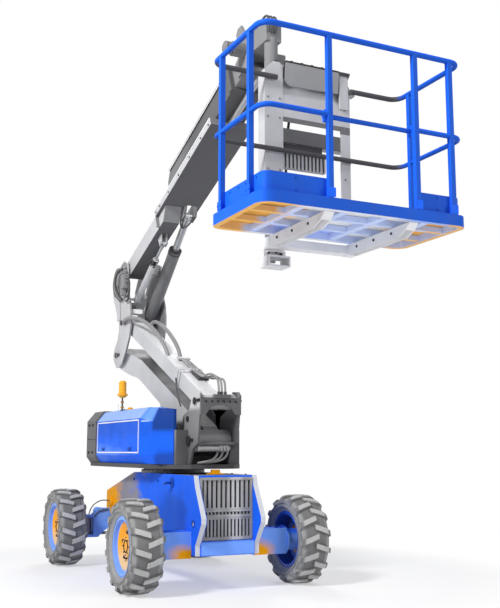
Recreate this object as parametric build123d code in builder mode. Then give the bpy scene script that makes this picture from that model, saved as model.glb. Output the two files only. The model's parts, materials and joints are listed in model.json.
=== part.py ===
from build123d import *
import os
from math import atan2, cos, degrees, hypot, radians, sin

# Articulating boom lift, millimetres. +X is forward, +Y is left, +Z is up.
# The origin is on the ground under the slewing axis, half way between the axles.

os.makedirs("parts", exist_ok=True)

# ---- wheels
WHEEL_R = 405
RIM_R = 258
TYRE_W = 300
AXLE_X = 1160
WHEEL_Y = 800
HUB_FACE = WHEEL_Y - 20.5
AXLE_END = WHEEL_Y - 160
LUGS = 15

# ---- chassis
BODY_HALF = 310
PLATE_T = 50
DECK_Z = 1000
BELLY_Z = 310
KINGPIN_Y = 560
STEER_ARM = 150
EAR_Y = KINGPIN_Y - 65

# ---- turret
RING_R = 300
RING_TOP = 1050
BASE_Z0 = 1050.5
BASE_Z1 = 1090
CANOPY_IN = 232
CANOPY_OUT = 490
CANOPY_X0 = -1080
CANOPY_X1 = 360
NOSE_X = 840
NOSE_IN = 300
NOSE_OUT = 328
TOWER_IN = 185
TOWER_OUT = 205

# ---- pivots in the middle plane, as (x, z)
ARM_FOOT = (930, 1310)
TIE_FOOT = (1080, 1670)
ARM_HEAD = (-1270, 2310)
TIE_HEAD = (-1120, 2670)
RISER_FOOT = (450, 1165)
RISER_AT = 1090
RISER_W = -190
BOOM_PIN = (-1080, 3280)
LIFT_FOOT = (-1190, 2630)
LIFT_EYE = (1215, -12)
LEVEL_FOOT = (-1000, 2930)
LEVEL_EYE = (903, -182)
TIP_PIN = (3360, 300)

ARM_ANGLE = degrees(atan2(ARM_HEAD[1] - ARM_FOOT[1], ARM_FOOT[0] - ARM_HEAD[0]))
ARM_LENGTH = hypot(ARM_HEAD[1] - ARM_FOOT[1], ARM_FOOT[0] - ARM_HEAD[0])
BOOM_ANGLE = 20.5

# ---- lateral places
KNUCKLE_IN = 195
KNUCKLE_OUT = 215
WEB_Y0 = 20
WEB_Y1 = 32
TIE_Y0 = -172
TIE_Y1 = 12
LIFT_Y = 108
LEVEL_Y = -77
MAST_X = 2310
MAST_Y = -50
MAST_R = 58

# ---- cage
CAGE_X0 = 2490
CAGE_X1 = 3405
CAGE_Y0 = -700
CAGE_Y1 = 1127
FLOOR_Z0 = 2940
FLOOR_Z1 = 3030
TOE_Z = 3180
MID_Z = 3665
TOP_Z = 4290
RAIL_R = 22
INSET = 21
POST = 40
TOE_IN = INSET + POST / 2 + 0.3
CORNER_R = 110
ENTRY_Y0 = -125
ENTRY_Y1 = 650


def along_arm(u, w):
    """World (x, z) of a point u along the lower arm and w above its middle line."""
    c = cos(radians(ARM_ANGLE))
    s = sin(radians(ARM_ANGLE))
    return (ARM_FOOT[0] - c * u + s * w, ARM_FOOT[1] + s * u + c * w)


def along_boom(u, w):
    """World (x, z) of a point u along the upper boom and w above its pivot line."""
    c = cos(radians(BOOM_ANGLE))
    s = sin(radians(BOOM_ANGLE))
    return (BOOM_PIN[0] + c * u - s * w, BOOM_PIN[1] + s * u + c * w)


def side(y):
    """Drawing plane at a given y, with +X to the right and +Z up."""
    return Plane(origin=(0, y, 0), x_dir=(1, 0, 0), z_dir=(0, -1, 0))


def arm_side(y, foot=ARM_FOOT):
    """Drawing plane along the lower arms, pointing back and up."""
    c = cos(radians(ARM_ANGLE))
    s = sin(radians(ARM_ANGLE))
    return Plane(origin=(foot[0], y, foot[1]), x_dir=(-c, 0, s), z_dir=(0, 1, 0))


def arm_plan(w):
    """Plane along the lower arm seen from above, x towards the knuckle and y to the left."""
    origin = along_arm(0, w)
    ahead = along_arm(1000, w)
    run = ((ahead[0] - origin[0]) / 1000, 0, (ahead[1] - origin[1]) / 1000)
    return Plane(origin=(origin[0], 0, origin[1]), x_dir=run, z_dir=(run[2], 0, -run[0]))


def boom_side(y):
    """Drawing plane along the upper boom, pointing forward and up."""
    c = cos(radians(BOOM_ANGLE))
    s = sin(radians(BOOM_ANGLE))
    return Plane(origin=(BOOM_PIN[0], y, BOOM_PIN[1]), x_dir=(c, 0, s), z_dir=(0, -1, 0))


def boom_end(u):
    """Drawing plane across the upper boom: first axis +Y, second axis up."""
    x, z = along_boom(u, 0)
    c = cos(radians(BOOM_ANGLE))
    s = sin(radians(BOOM_ANGLE))
    return Plane(origin=(x, 0, z), x_dir=(0, 1, 0), z_dir=(c, 0, s))


def rod_plane(start, end, y):
    """Drawing plane across a rod that runs from one (x, z) point towards another."""
    return Plane(origin=(start[0], y, start[1]), z_dir=(end[0] - start[0], 0, end[1] - start[1]))


def gap(start, end):
    """Distance between two (x, z) points."""
    return hypot(end[0] - start[0], end[1] - start[1])


def save(builder, name):
    """Label a finished sub-part and write it to its own file."""
    builder.part.label = name
    export_step(builder.part, f"parts/{name}.step")


# =====================================================================
# Wheels: built once about the +Y axis at the origin, outer side at +Y
# =====================================================================
CARCASS = (
    (RIM_R, -118), (WHEEL_R - 105, -140), (WHEEL_R - 53, -132), (WHEEL_R - 31, -92), (WHEEL_R - 25, 0),
    (WHEEL_R - 31, 92), (WHEEL_R - 53, 132), (WHEEL_R - 105, 140), (RIM_R, 118),
)
TREAD = (
    (WHEEL_R - 75, -150), (WHEEL_R - 33, -150), (WHEEL_R - 7, -112), (WHEEL_R, -60), (WHEEL_R, 60),
    (WHEEL_R - 7, 112), (WHEEL_R - 33, 150), (WHEEL_R - 75, 150),
)
with BuildPart() as tread_shell:
    with BuildSketch(Plane.YX):
        with BuildLine():
            Polyline(*[(y, r) for r, y in TREAD], close=True)
        make_face()
    revolve(axis=Axis.Y)

with BuildPart() as lugs:
    for side_sign, phase in ((1, 0.0), (-1, 0.5)):
        for k in range(LUGS):
            spin = (k + phase) * 360.0 / LUGS
            place = Plane(Location((0, 0, 0), (0, spin, 0)) * Location((0, 0, WHEEL_R - 80)))
            with BuildSketch(place):
                with BuildLine():
                    Polyline(
                        (-30, side_sign * -12), (14, side_sign * -12), (72, side_sign * 152),
                        (24, side_sign * 152), close=True,
                    )
                make_face()
            extrude(amount=90)
    add(tread_shell.part, mode=Mode.INTERSECT)

with BuildPart() as tyre:
    with BuildSketch(Plane.YX):
        with BuildLine():
            Polyline(*[(y, r) for r, y in CARCASS], close=True)
        make_face()
    revolve(axis=Axis.Y)
    add(lugs.part)

BARREL_R = RIM_R - 30
LIP_R = RIM_R - 12
RIM = (
    (0, -20), (70, -20), (70, 22), (BARREL_R - 68, 22), (BARREL_R - 23, 62), (BARREL_R, 62),
    (BARREL_R, -118), (LIP_R, -118), (LIP_R, -112), (RIM_R, -112), (RIM_R, 112), (LIP_R, 112), (LIP_R, 118),
    (BARREL_R, 118), (BARREL_R - 6, 84), (BARREL_R - 32, 84), (BARREL_R - 78, 46), (92, 46), (92, 78), (0, 78),
)
with BuildPart() as rim:
    with BuildSketch(Plane.YX):
        with BuildLine():
            Polyline(*[(y, r) for r, y in RIM], close=True)
        make_face()
    revolve(axis=Axis.Y)

CORNERS = (
    ("front_right", AXLE_X, -1),
    ("front_left", AXLE_X, 1),
    ("rear_right", -AXLE_X, -1),
    ("rear_left", -AXLE_X, 1),
)
for corner, x, hand in CORNERS:
    turn = 0 if hand > 0 else 180
    place = Location((x, hand * WHEEL_Y, WHEEL_R), (0, 0, turn))
    for kind, shape in (("tyre", tyre.part), ("rim", rim.part)):
        moved = place * shape
        moved.label = f"{kind}_{corner}"
        export_step(moved, f"parts/{kind}_{corner}.step")

# =====================================================================
# Chassis
# =====================================================================
SIDE_PLATE = (
    (1295, DECK_Z), (1330, 900), (1478, 640), (1478, 590), (1345, 400), (1345, BELLY_Z),
    (-560, BELLY_Z), (-700, 430), (-1160, 560), (-1235, 600), (-1235, 780), (-310, DECK_Z),
)
INNER_PROFILE = (
    (1310, 972), (1310, 334), (-560, 334), (-700, 455), (-1160, 585), (-1205, 600),
    (-1205, 758), (-310, 972),
)
with BuildPart() as chassis:
    with BuildSketch(side(0)):
        with BuildLine():
            Polyline(*SIDE_PLATE, close=True)
        make_face()
    extrude(amount=BODY_HALF, both=True)
    # engine bay, open at the front between the side plates
    with BuildSketch(side(0)):
        with BuildLine():
            Polyline(*INNER_PROFILE, close=True)
        make_face()
    extrude(amount=BODY_HALF - PLATE_T, both=True, mode=Mode.SUBTRACT)
    with BuildSketch(side(0)):
        with BuildLine():
            Polyline((1308, 1010), (1520, 1010), (1520, 300), (1308, 300), close=True)
        make_face()
    extrude(amount=BODY_HALF - PLATE_T, both=True, mode=Mode.SUBTRACT)
    # the front axle beam runs through both side plates, and the rear axle sits in a notch
    with Locations((AXLE_X, 0, 400)):
        Box(150, 700, 130, mode=Mode.SUBTRACT)
    with Locations((-AXLE_X, 0, 492)):
        Box(124, 700, 200, mode=Mode.SUBTRACT)
    # tie-down holes through the noses
    with Locations((1300, 0, 585)):
        Cylinder(22, 700, rotation=(90, 0, 0), mode=Mode.SUBTRACT)
    # round lifting eyes near the rear
    for hand in (-1, 1):
        with Locations((-1060, hand * (BODY_HALF + 9), 672)):
            Cylinder(34, 18, rotation=(90, 0, 0))
    # bumper bar between the noses
    with BuildSketch(side(0)):
        with BuildLine():
            Polyline(
                (1290, 430), (1346, 430), (1356, 420), (1356, 316), (1346, 306), (1310, 306), (1290, 320),
                close=True,
            )
        make_face()
    extrude(amount=BODY_HALF - PLATE_T, both=True)
save(chassis, "chassis_frame")

GRILLE_X = 1290
# rows of upright slots: middle height, slot height, count, pitch, slot width
UPPER_SLOTS = 11
LOWER_SLOTS = 14
GRILLE_HALF = BODY_HALF - PLATE_T
GRILLE_ROWS = (
    (835, 240, UPPER_SLOTS, GRILLE_HALF * 0.175, 20),
    (668, 22, LOWER_SLOTS, GRILLE_HALF * 0.1346, 20),
    (540, 150, LOWER_SLOTS, GRILLE_HALF * 0.1346, 17),
)
with BuildPart() as grille:
    with Locations((GRILLE_X + 10, 0, 700)):
        Box(20, 2 * GRILLE_HALF, 540)
    for row_z, row_h, count, pitch, slot in GRILLE_ROWS:
        for k in range(count):
            with Locations((GRILLE_X + 10, (k - (count - 1) / 2) * pitch, row_z)):
                Box(30, slot, row_h, mode=Mode.SUBTRACT)
    # frame bars standing proud of the slotted sheet
    for bar_z, bar_h in ((972, 22), (690, 14), (644, 14), (448, 22)):
        with Locations((GRILLE_X + 24, 0, bar_z)):
            Box(12, 2 * GRILLE_HALF - 10, bar_h)
    for bar_y in (14 - GRILLE_HALF, GRILLE_HALF - 14):
        with Locations((GRILLE_X + 24, bar_y, 700)):
            Box(12, 22, 520)
save(grille, "grille")

with BuildPart() as engine:
    with Locations((700, 0, 560)):
        Box(620, 380, 452)
save(engine, "engine_block")

with BuildPart() as ring:
    with Locations((0, 0, (DECK_Z + RING_TOP) / 2)):
        Cylinder(RING_R, RING_TOP - DECK_Z)
    with Locations((0, 0, DECK_Z + 12)):
        Cylinder(RING_R + 22, 24)
save(ring, "slew_ring")

with BuildPart() as front_axle:
    for hand in (-1, 1):
        with Locations((AXLE_X, hand * (BODY_HALF + AXLE_END) / 2, 400)):
            Box(190, AXLE_END - BODY_HALF, 230)
        with Locations((AXLE_X, hand * (AXLE_END + 8), WHEEL_R)):
            Cylinder(128, 20, rotation=(90, 0, 0))
        with Locations((AXLE_X, hand * (AXLE_END - 2 + HUB_FACE) / 2, WHEEL_R)):
            Cylinder(96, HUB_FACE - AXLE_END + 2, rotation=(90, 0, 0))
    with Locations((AXLE_X, 0, 400)):
        Box(150, 2 * BODY_HALF, 130)
save(front_axle, "front_axle")

with BuildPart() as rear_axle:
    # cast beam seen from the rear: arched arms falling to the kingpin lugs
    with BuildSketch(Plane(origin=(-AXLE_X, 0, 0), x_dir=(0, 1, 0), z_dir=(1, 0, 0))):
        with BuildLine():
            Polyline(
                (-300, 592), (-395, 592), (-450, 560), (-EAR_Y, 525), (-EAR_Y, 285), (-440, 285), (-400, 330),
                (-300, 400), (300, 400), (400, 330), (440, 285), (EAR_Y, 285), (EAR_Y, 525), (450, 560),
                (395, 592), (300, 592), close=True,
            )
        make_face()
    extrude(amount=62, both=True)
    for hand in (-1, 1):
        for lug_z in (300, 510):
            with Locations((-AXLE_X, hand * (EAR_Y + 20), lug_z)):
                Box(110, 60, 30)
            with Locations((-AXLE_X, hand * KINGPIN_Y, lug_z)):
                Cylinder(55, 30)
        with Locations((-AXLE_X, hand * KINGPIN_Y, 405)):
            Cylinder(22, 240)
        with Locations((-AXLE_X, hand * 428, 560)):
            Cylinder(42, 124, rotation=(0, 90, 0))
save(rear_axle, "rear_axle")

for name, hand in (("knuckle_right", -1), ("knuckle_left", 1)):
    with BuildPart() as knuckle:
        with Locations((-AXLE_X, hand * KINGPIN_Y, 405)):
            Cylinder(50, 170)
        with Locations((-AXLE_X, hand * 625, WHEEL_R)):
            Cylinder(60, 90, rotation=(90, 0, 0))
        with Locations((-AXLE_X, hand * (WHEEL_Y - 145), WHEEL_R)):
            Cylinder(118, 22, rotation=(90, 0, 0))
        with Locations((-AXLE_X, hand * (WHEEL_Y - 145 + HUB_FACE) / 2, WHEEL_R)):
            Cylinder(92, HUB_FACE - WHEEL_Y + 145, rotation=(90, 0, 0))
        with Locations((-AXLE_X - STEER_ARM / 2, hand * KINGPIN_Y, 350)):
            Box(STEER_ARM, 36, 34)
        with Locations((-AXLE_X - STEER_ARM, hand * KINGPIN_Y, 350)):
            Cylinder(26, 34)
        with Locations((-AXLE_X, hand * KINGPIN_Y, 405)):
            Cylinder(22.5, 260, mode=Mode.SUBTRACT)
    save(knuckle, name)

with BuildPart() as track_rod:
    with Locations((-AXLE_X - STEER_ARM, 0, 310)):
        Cylinder(17, 2 * KINGPIN_Y, rotation=(90, 0, 0))
    for hand in (-1, 1):
        with Locations((-AXLE_X - STEER_ARM, hand * KINGPIN_Y, 312.25)):
            Cylinder(25, 40.5)
save(track_rod, "track_rod")

# =====================================================================
# Turret
# =====================================================================
with BuildPart() as base:
    with BuildSketch(Plane.XY.offset(BASE_Z0)):
        with BuildLine():
            Polyline(
                (-1410, -420), (-1360, -470), (340, -470), (620, -350), (890, -332), (1010, -215), (1010, 215),
                (890, 332), (620, 350), (340, 470), (-1360, 470), (-1410, 420), close=True,
            )
        make_face()
    extrude(amount=BASE_Z1 - BASE_Z0)
    # upright walls beside the arms, behind which the covers close
    for y0 in (-226, 214):
        with BuildSketch(side(y0 + 12)):
            with BuildLine():
                Polyline(
                    (-1080, BASE_Z1 - 5), (560, BASE_Z1 - 5), (560, 1560), (480, 1622), (-1080, 1622), close=True,
                )
            make_face()
        extrude(amount=12)
    # clips that hold the covers' hinge tubes
    for hand in (-1, 1):
        for clip_x in (-900, -360, 180):
            with Locations((clip_x, hand * 219.25, 1634)):
                Box(70, 10.5, 36)
    # lugs for the riser cylinder
    for y0 in (-86, 62):
        with BuildSketch(side(y0 + 24)):
            with BuildLine():
                Polyline((370, BASE_Z1 - 5), (530, BASE_Z1 - 5), (500, 1200), (400, 1200), close=True)
            make_face()
        extrude(amount=24)
    with Locations((RISER_FOOT[0], 0, RISER_FOOT[1])):
        Cylinder(18, 172, rotation=(90, 0, 0))
save(base, "turret_base")

TOWER = (
    (740, BASE_Z1), (940, BASE_Z1), (1010, 1230), (1130, 1290), (1165, 1530), (1195, 1720), (1150, 1758),
    (1040, 1764), (975, 1700), (920, 1600), (760, 1540), (745, 1440), (815, 1380),
)
BOX_TOP = 1410
with BuildPart() as tower:
    for y0 in (-TOWER_OUT, TOWER_IN):
        with BuildSketch(side(y0 + 20)):
            with BuildLine():
                Polyline(*TOWER, close=True)
            make_face()
        extrude(amount=20)
    # valve boxes on the base, outside the plates and clear of the covers' noses
    for hand in (-1, 1):
        with BuildSketch(Plane.XY.offset(BASE_Z1)):
            with BuildLine():
                Polyline(
                    (620, hand * (TOWER_OUT - 2)), (NOSE_X + 60, hand * (TOWER_OUT - 2)),
                    (NOSE_X + 60, hand * (NOSE_OUT - 4)), (NOSE_X + 10, hand * (NOSE_OUT - 4)),
                    (NOSE_X + 10, hand * (NOSE_IN - 22)), (620, hand * (CANOPY_IN + 12)), close=True,
                )
            make_face()
        extrude(amount=BOX_TOP - BASE_Z1)
    # arched cross plate at the front
    with BuildSketch(Plane(origin=(1172, 0, 0), x_dir=(0, 1, 0), z_dir=(1, 0, 0))):
        with BuildLine():
            Polyline(
                (-TOWER_OUT, 1700), (-TOWER_OUT, 1545), (-150, 1545), (-105, 1608), (-40, 1632), (40, 1632),
                (105, 1608), (150, 1545), (TOWER_OUT, 1545), (TOWER_OUT, 1700), close=True,
            )
        make_face()
    extrude(amount=16)
    with Locations((1186, 10, 1712)):
        Box(44, 170, 34)
    # pins: lower arm foot and tie arm foot
    for foot, radius in ((ARM_FOOT, 40), (TIE_FOOT, 30)):
        with Locations((foot[0], 0, foot[1])):
            Cylinder(radius, 2 * TOWER_OUT + 24, rotation=(90, 0, 0))
    with Locations((1086, 0, 1282)):
        Cylinder(15, 2 * TOWER_OUT - 10, rotation=(90, 0, 0))
    # low cross wall behind the arm foot
    with Locations((640, 0, BASE_Z1 + 40)):
        Box(30, 2 * TOWER_IN, 80)
save(tower, "tower")


def canopy_section(hand, inset, low, scale):
    """Corner points of the cover in a cross plane, as (y, z); the hollow is open towards the arms."""
    wide = CANOPY_OUT - scale * (CANOPY_OUT - NOSE_OUT) - inset
    top = 1640 - scale * 36 - inset
    inner = CANOPY_IN + scale * (NOSE_IN - CANOPY_IN) - inset
    return [
        (hand * inner, low),
        (hand * (wide - 46 + scale * 42), low),
        (hand * wide, 1172 + scale * 24),
        (hand * wide, 1532 - scale * 96 - inset),
        (hand * (wide - 92 + scale * 88), top),
        (hand * inner, top),
    ]


for name, hand in (("canopy_right", -1), ("canopy_left", 1)):
    with BuildPart() as canopy:
        for inset, low, mode in ((0, BASE_Z1 + 2, Mode.ADD), (14, BASE_Z1 - 20, Mode.SUBTRACT)):
            with BuildSketch(Plane(origin=(CANOPY_X0 + inset, 0, 0), x_dir=(0, 1, 0), z_dir=(1, 0, 0))):
                with BuildLine():
                    Polyline(*canopy_section(hand, inset, low, 0.0), close=True)
                make_face()
            extrude(amount=CANOPY_X1 - CANOPY_X0 - inset, mode=mode)
            with BuildSketch(Plane(origin=(CANOPY_X1, 0, 0), x_dir=(0, 1, 0), z_dir=(1, 0, 0))):
                with BuildLine():
                    Polyline(*canopy_section(hand, inset, low, 0.0), close=True)
                make_face()
            with BuildSketch(Plane(origin=(NOSE_X - inset, 0, 0), x_dir=(0, 1, 0), z_dir=(1, 0, 0))):
                with BuildLine():
                    Polyline(*canopy_section(hand, inset, low, 1.0), close=True)
                make_face()
            loft(ruled=True, mode=mode)
        # hinge tube along the inner top edge
        with Locations((-360, hand * (CANOPY_IN + 2), 1640)):
            Cylinder(9, 1300, rotation=(0, 90, 0))
    save(canopy, name)

with BuildPart() as units:
    # a tank box under one cover and a battery box under the other, standing on the base
    for hand, length, mid_x, high in ((-1, 900, -330, 380), (1, 760, -420, 330)):
        with Locations((mid_x, hand * 345, BASE_Z1 + high / 2)):
            Box(length, 180, high)
save(units, "deck_units")

with BuildPart() as weight:
    with BuildSketch(Plane(origin=(-1432, 0, 0), x_dir=(0, 1, 0), z_dir=(1, 0, 0))):
        with BuildLine():
            Polyline(
                (-440, BASE_Z1 - 22), (-500, 1150), (-500, 1545), (-408, 1655), (-240, 1655), (-240, 1330),
                (240, 1330), (240, 1655), (408, 1655), (500, 1545), (500, 1150), (440, BASE_Z1 - 22), close=True,
            )
        make_face()
    extrude(amount=340)
    with Locations((-1250, 0, (BASE_Z0 + BASE_Z1) / 2)):
        Box(340, 942, BASE_Z1 - BASE_Z0, mode=Mode.SUBTRACT)
save(weight, "counterweight")

BEACON_X = -480
BEACON_Y = -400
COVER_TOP = 1640
with BuildPart() as beacon:
    with Locations((BEACON_X, BEACON_Y + 16, COVER_TOP + 5)):
        Box(56, 60, 10)
    with Locations((BEACON_X, BEACON_Y, COVER_TOP + 83)):
        Cylinder(9, 150)
    for z in (1672, 1728):
        with Locations((BEACON_X, BEACON_Y, z)):
            Cylinder(17, 16)
    with Locations((BEACON_X, BEACON_Y, 1786)):
        Cone(24, 56, 24)
    with Locations((BEACON_X, BEACON_Y, 1804)):
        Cylinder(56, 12)
    with Locations((BEACON_X, BEACON_Y, 1872)):
        Cylinder(40, 126)
    with Locations((BEACON_X, BEACON_Y, 1945)):
        Cone(40, 24, 20)
save(beacon, "beacon")

# =====================================================================
# Lower arms, riser cylinder and arm knuckle
# =====================================================================
ARM_HALF = 75
HEAD_HALF = 188
with BuildPart() as flare:
    # the arm widens to its head between the knuckle's plates
    with BuildSketch(arm_side(0)):
        with BuildLine():
            Polyline(
                (1960, 102), (2250, 92), (ARM_LENGTH, 84), (ARM_LENGTH + 58, 52), (ARM_LENGTH + 80, 0),
                (ARM_LENGTH + 58, -56), (ARM_LENGTH, -84), (2300, -124), (2100, -136), (1960, -110), close=True,
            )
        make_face()
    extrude(amount=HEAD_HALF, both=True)
    with BuildSketch(arm_plan(0)):
        with BuildLine():
            Polyline(
                (1960, -ARM_HALF + 1), (1960, ARM_HALF - 1), (2080, 96), (2190, 150), (2290, HEAD_HALF),
                (ARM_LENGTH + 90, HEAD_HALF), (ARM_LENGTH + 90, -HEAD_HALF), (2290, -HEAD_HALF),
                (2190, -150), (2080, -96), close=True,
            )
        make_face()
    extrude(amount=200, both=True, mode=Mode.INTERSECT)

with BuildPart() as lower_arm:
    with BuildSketch(arm_side(0)):
        with BuildLine():
            Polyline(
                (-60, 84), (60, 120), (2050, 104), (2250, 92), (ARM_LENGTH, 84), (ARM_LENGTH + 60, 52),
                (ARM_LENGTH + 84, 0), (ARM_LENGTH + 60, -58), (ARM_LENGTH, -84), (2300, -118), (2100, -128),
                (1900, -112), (60, -104), (-60, -84), (-104, 0), close=True,
            )
        make_face()
    extrude(amount=ARM_HALF, both=True)
    for place, radius, half in ((ARM_FOOT, 104, 178), (ARM_HEAD, 82, HEAD_HALF)):
        with Locations((place[0], 0, place[1])):
            Cylinder(radius, 2 * half, rotation=(90, 0, 0))
    add(flare.part)
    # eye of the riser rod sits between two lugs under the arm
    for y0 in (-75, 55):
        with BuildSketch(arm_side(y0)):
            with BuildLine():
                Polyline(
                    (RISER_AT - 110, -100), (RISER_AT + 110, -100), (RISER_AT + 40, -230),
                    (RISER_AT - 40, -230), close=True,
                )
            make_face()
        extrude(amount=20)
    with BuildSketch(arm_side(-81)):
        with Locations((RISER_AT, RISER_W)):
            Circle(24)
    extrude(amount=162)
    with BuildSketch(arm_side(0)):
        with BuildLine():
            Polyline((620, -260), (620, -60), (1250, -50), (1250, -260), close=True)
        make_face()
    extrude(amount=55, both=True, mode=Mode.SUBTRACT)
    for place, radius in ((ARM_FOOT, 41), (ARM_HEAD, 36)):
        with Locations((place[0], 0, place[1])):
            Cylinder(radius, 500, rotation=(90, 0, 0), mode=Mode.SUBTRACT)
save(lower_arm, "lower_arm")

with BuildPart() as tie_arm:
    with BuildSketch(arm_side(TIE_Y0, TIE_FOOT)):
        with BuildLine():
            Polyline(
                (-30, 70), (80, 84), (2180, 84), (2250, 60), (ARM_LENGTH - 20, 58), (ARM_LENGTH + 58, 0),
                (ARM_LENGTH - 20, -58), (2250, -60), (2180, -66), (80, -66), (-30, -70), (-78, 0), close=True,
            )
        make_face()
    extrude(amount=TIE_Y1 - TIE_Y0)
    for place, radius, y0, y1 in ((TIE_FOOT, 72, -178, 178), (TIE_HEAD, 58, -188, 14)):
        with Locations((place[0], (y0 + y1) / 2, place[1])):
            Cylinder(radius, y1 - y0, rotation=(90, 0, 0))
    # hose clamp over the arm
    with BuildSketch(arm_side(TIE_Y0 - 10, TIE_FOOT)):
        with Locations((560, 9)):
            Rectangle(44, 170)
    extrude(amount=TIE_Y1 - TIE_Y0 + 20)
    for place, radius in ((TIE_FOOT, 31), (TIE_HEAD, 29)):
        with Locations((place[0], 0, place[1])):
            Cylinder(radius, 500, rotation=(90, 0, 0), mode=Mode.SUBTRACT)
save(tie_arm, "tie_arm")

riser_eye = along_arm(RISER_AT, RISER_W)
RISER_SPAN = gap(RISER_FOOT, riser_eye)
RISER_BARREL = 540
RISER_ROD = 528
with BuildPart() as riser_barrel:
    with BuildSketch(rod_plane(RISER_FOOT, riser_eye, 0)):
        Circle(48)
    extrude(amount=RISER_BARREL)
    with Locations((RISER_FOOT[0], 0, RISER_FOOT[1])):
        Cylinder(46, 112, rotation=(90, 0, 0))
    with BuildSketch(rod_plane(RISER_FOOT, riser_eye, 0)):
        Circle(27)
    extrude(amount=RISER_BARREL + 10, mode=Mode.SUBTRACT)
    with Locations((RISER_FOOT[0], 0, RISER_FOOT[1])):
        Cylinder(46, 112, rotation=(90, 0, 0))
        Cylinder(18.5, 200, rotation=(90, 0, 0), mode=Mode.SUBTRACT)
save(riser_barrel, "riser_barrel")

with BuildPart() as riser_rod:
    with BuildSketch(rod_plane(riser_eye, RISER_FOOT, 0)):
        Circle(26)
    extrude(amount=RISER_ROD)
    with Locations((riser_eye[0], 0, riser_eye[1])):
        Cylinder(34, 84, rotation=(90, 0, 0))
save(riser_rod, "riser_rod")

KNUCKLE_SIDE = (
    (-1385, 2240), (-1420, 2320), (-1370, 2400), (-1270, 2490), (-1225, 2590), (-1235, 2700), (-1320, 2800),
    (-1440, 2960), (-1480, 3090), (-1450, 3170), (-1330, 3270), (-1180, 3360), (-1080, 3385), (-990, 3350),
    (-965, 3260), (-950, 3060), (-900, 2960), (-850, 2860), (-815, 2740), (-815, 2600), (-860, 2470),
    (-960, 2340), (-1090, 2210), (-1200, 2160), (-1300, 2165),
)
KNUCKLE_WEB = (
    (-1215, 2560), (-1225, 2700), (-1320, 2880), (-1370, 3080), (-1180, 3340), (-1080, 3370), (-985, 3320),
    (-985, 3180), (-1080, 3160), (-1010, 2990), (-960, 2960), (-970, 2880), (-1035, 2780), (-1035, 2610),
    (-1110, 2555), (-1200, 2540),
)
with BuildPart() as arm_knuckle:
    for y0 in (-KNUCKLE_OUT, KNUCKLE_IN):
        with BuildSketch(side(y0 + 20)):
            with BuildLine():
                Polyline(*KNUCKLE_SIDE, close=True)
            make_face()
        extrude(amount=20)
    # stiffening strip up the outer face of each plate
    for y0 in (-KNUCKLE_OUT - 8, KNUCKLE_OUT):
        with BuildSketch(side(y0 + 8)):
            with BuildLine():
                Polyline(
                    (-1420, 3070), (-1300, 2800), (-1270, 2700), (-1160, 2720), (-1180, 2860), (-1290, 3150),
                    close=True,
                )
            make_face()
        extrude(amount=8)
    with BuildSketch(side(WEB_Y1)):
        with BuildLine():
            Polyline(*KNUCKLE_WEB, close=True)
        make_face()
    extrude(amount=WEB_Y1 - WEB_Y0)
    # back wall joining the plates behind the pins
    with BuildSketch(side(0)):
        with BuildLine():
            Polyline((-1330, 2800), (-1420, 2950), (-1400, 2962), (-1308, 2812), close=True)
        make_face()
    extrude(amount=KNUCKLE_IN, both=True)
    # pins: lower arm head, tie arm head, lift cylinder foot, boom, levelling cylinder foot
    for place, radius, y0, y1 in (
        (ARM_HEAD, 35, -232, 232),
        (TIE_HEAD, 28, -226, WEB_Y1 + 3),
        (LIFT_FOOT, 26, WEB_Y0 - 3, 226),
        (BOOM_PIN, 38, -236, 236),
        (LEVEL_FOOT, 15, -KNUCKLE_OUT - 6, WEB_Y1 + 3),
    ):
        with Locations((place[0], (y0 + y1) / 2, place[1])):
            Cylinder(radius, y1 - y0, rotation=(90, 0, 0))
save(arm_knuckle, "arm_knuckle")

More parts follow.
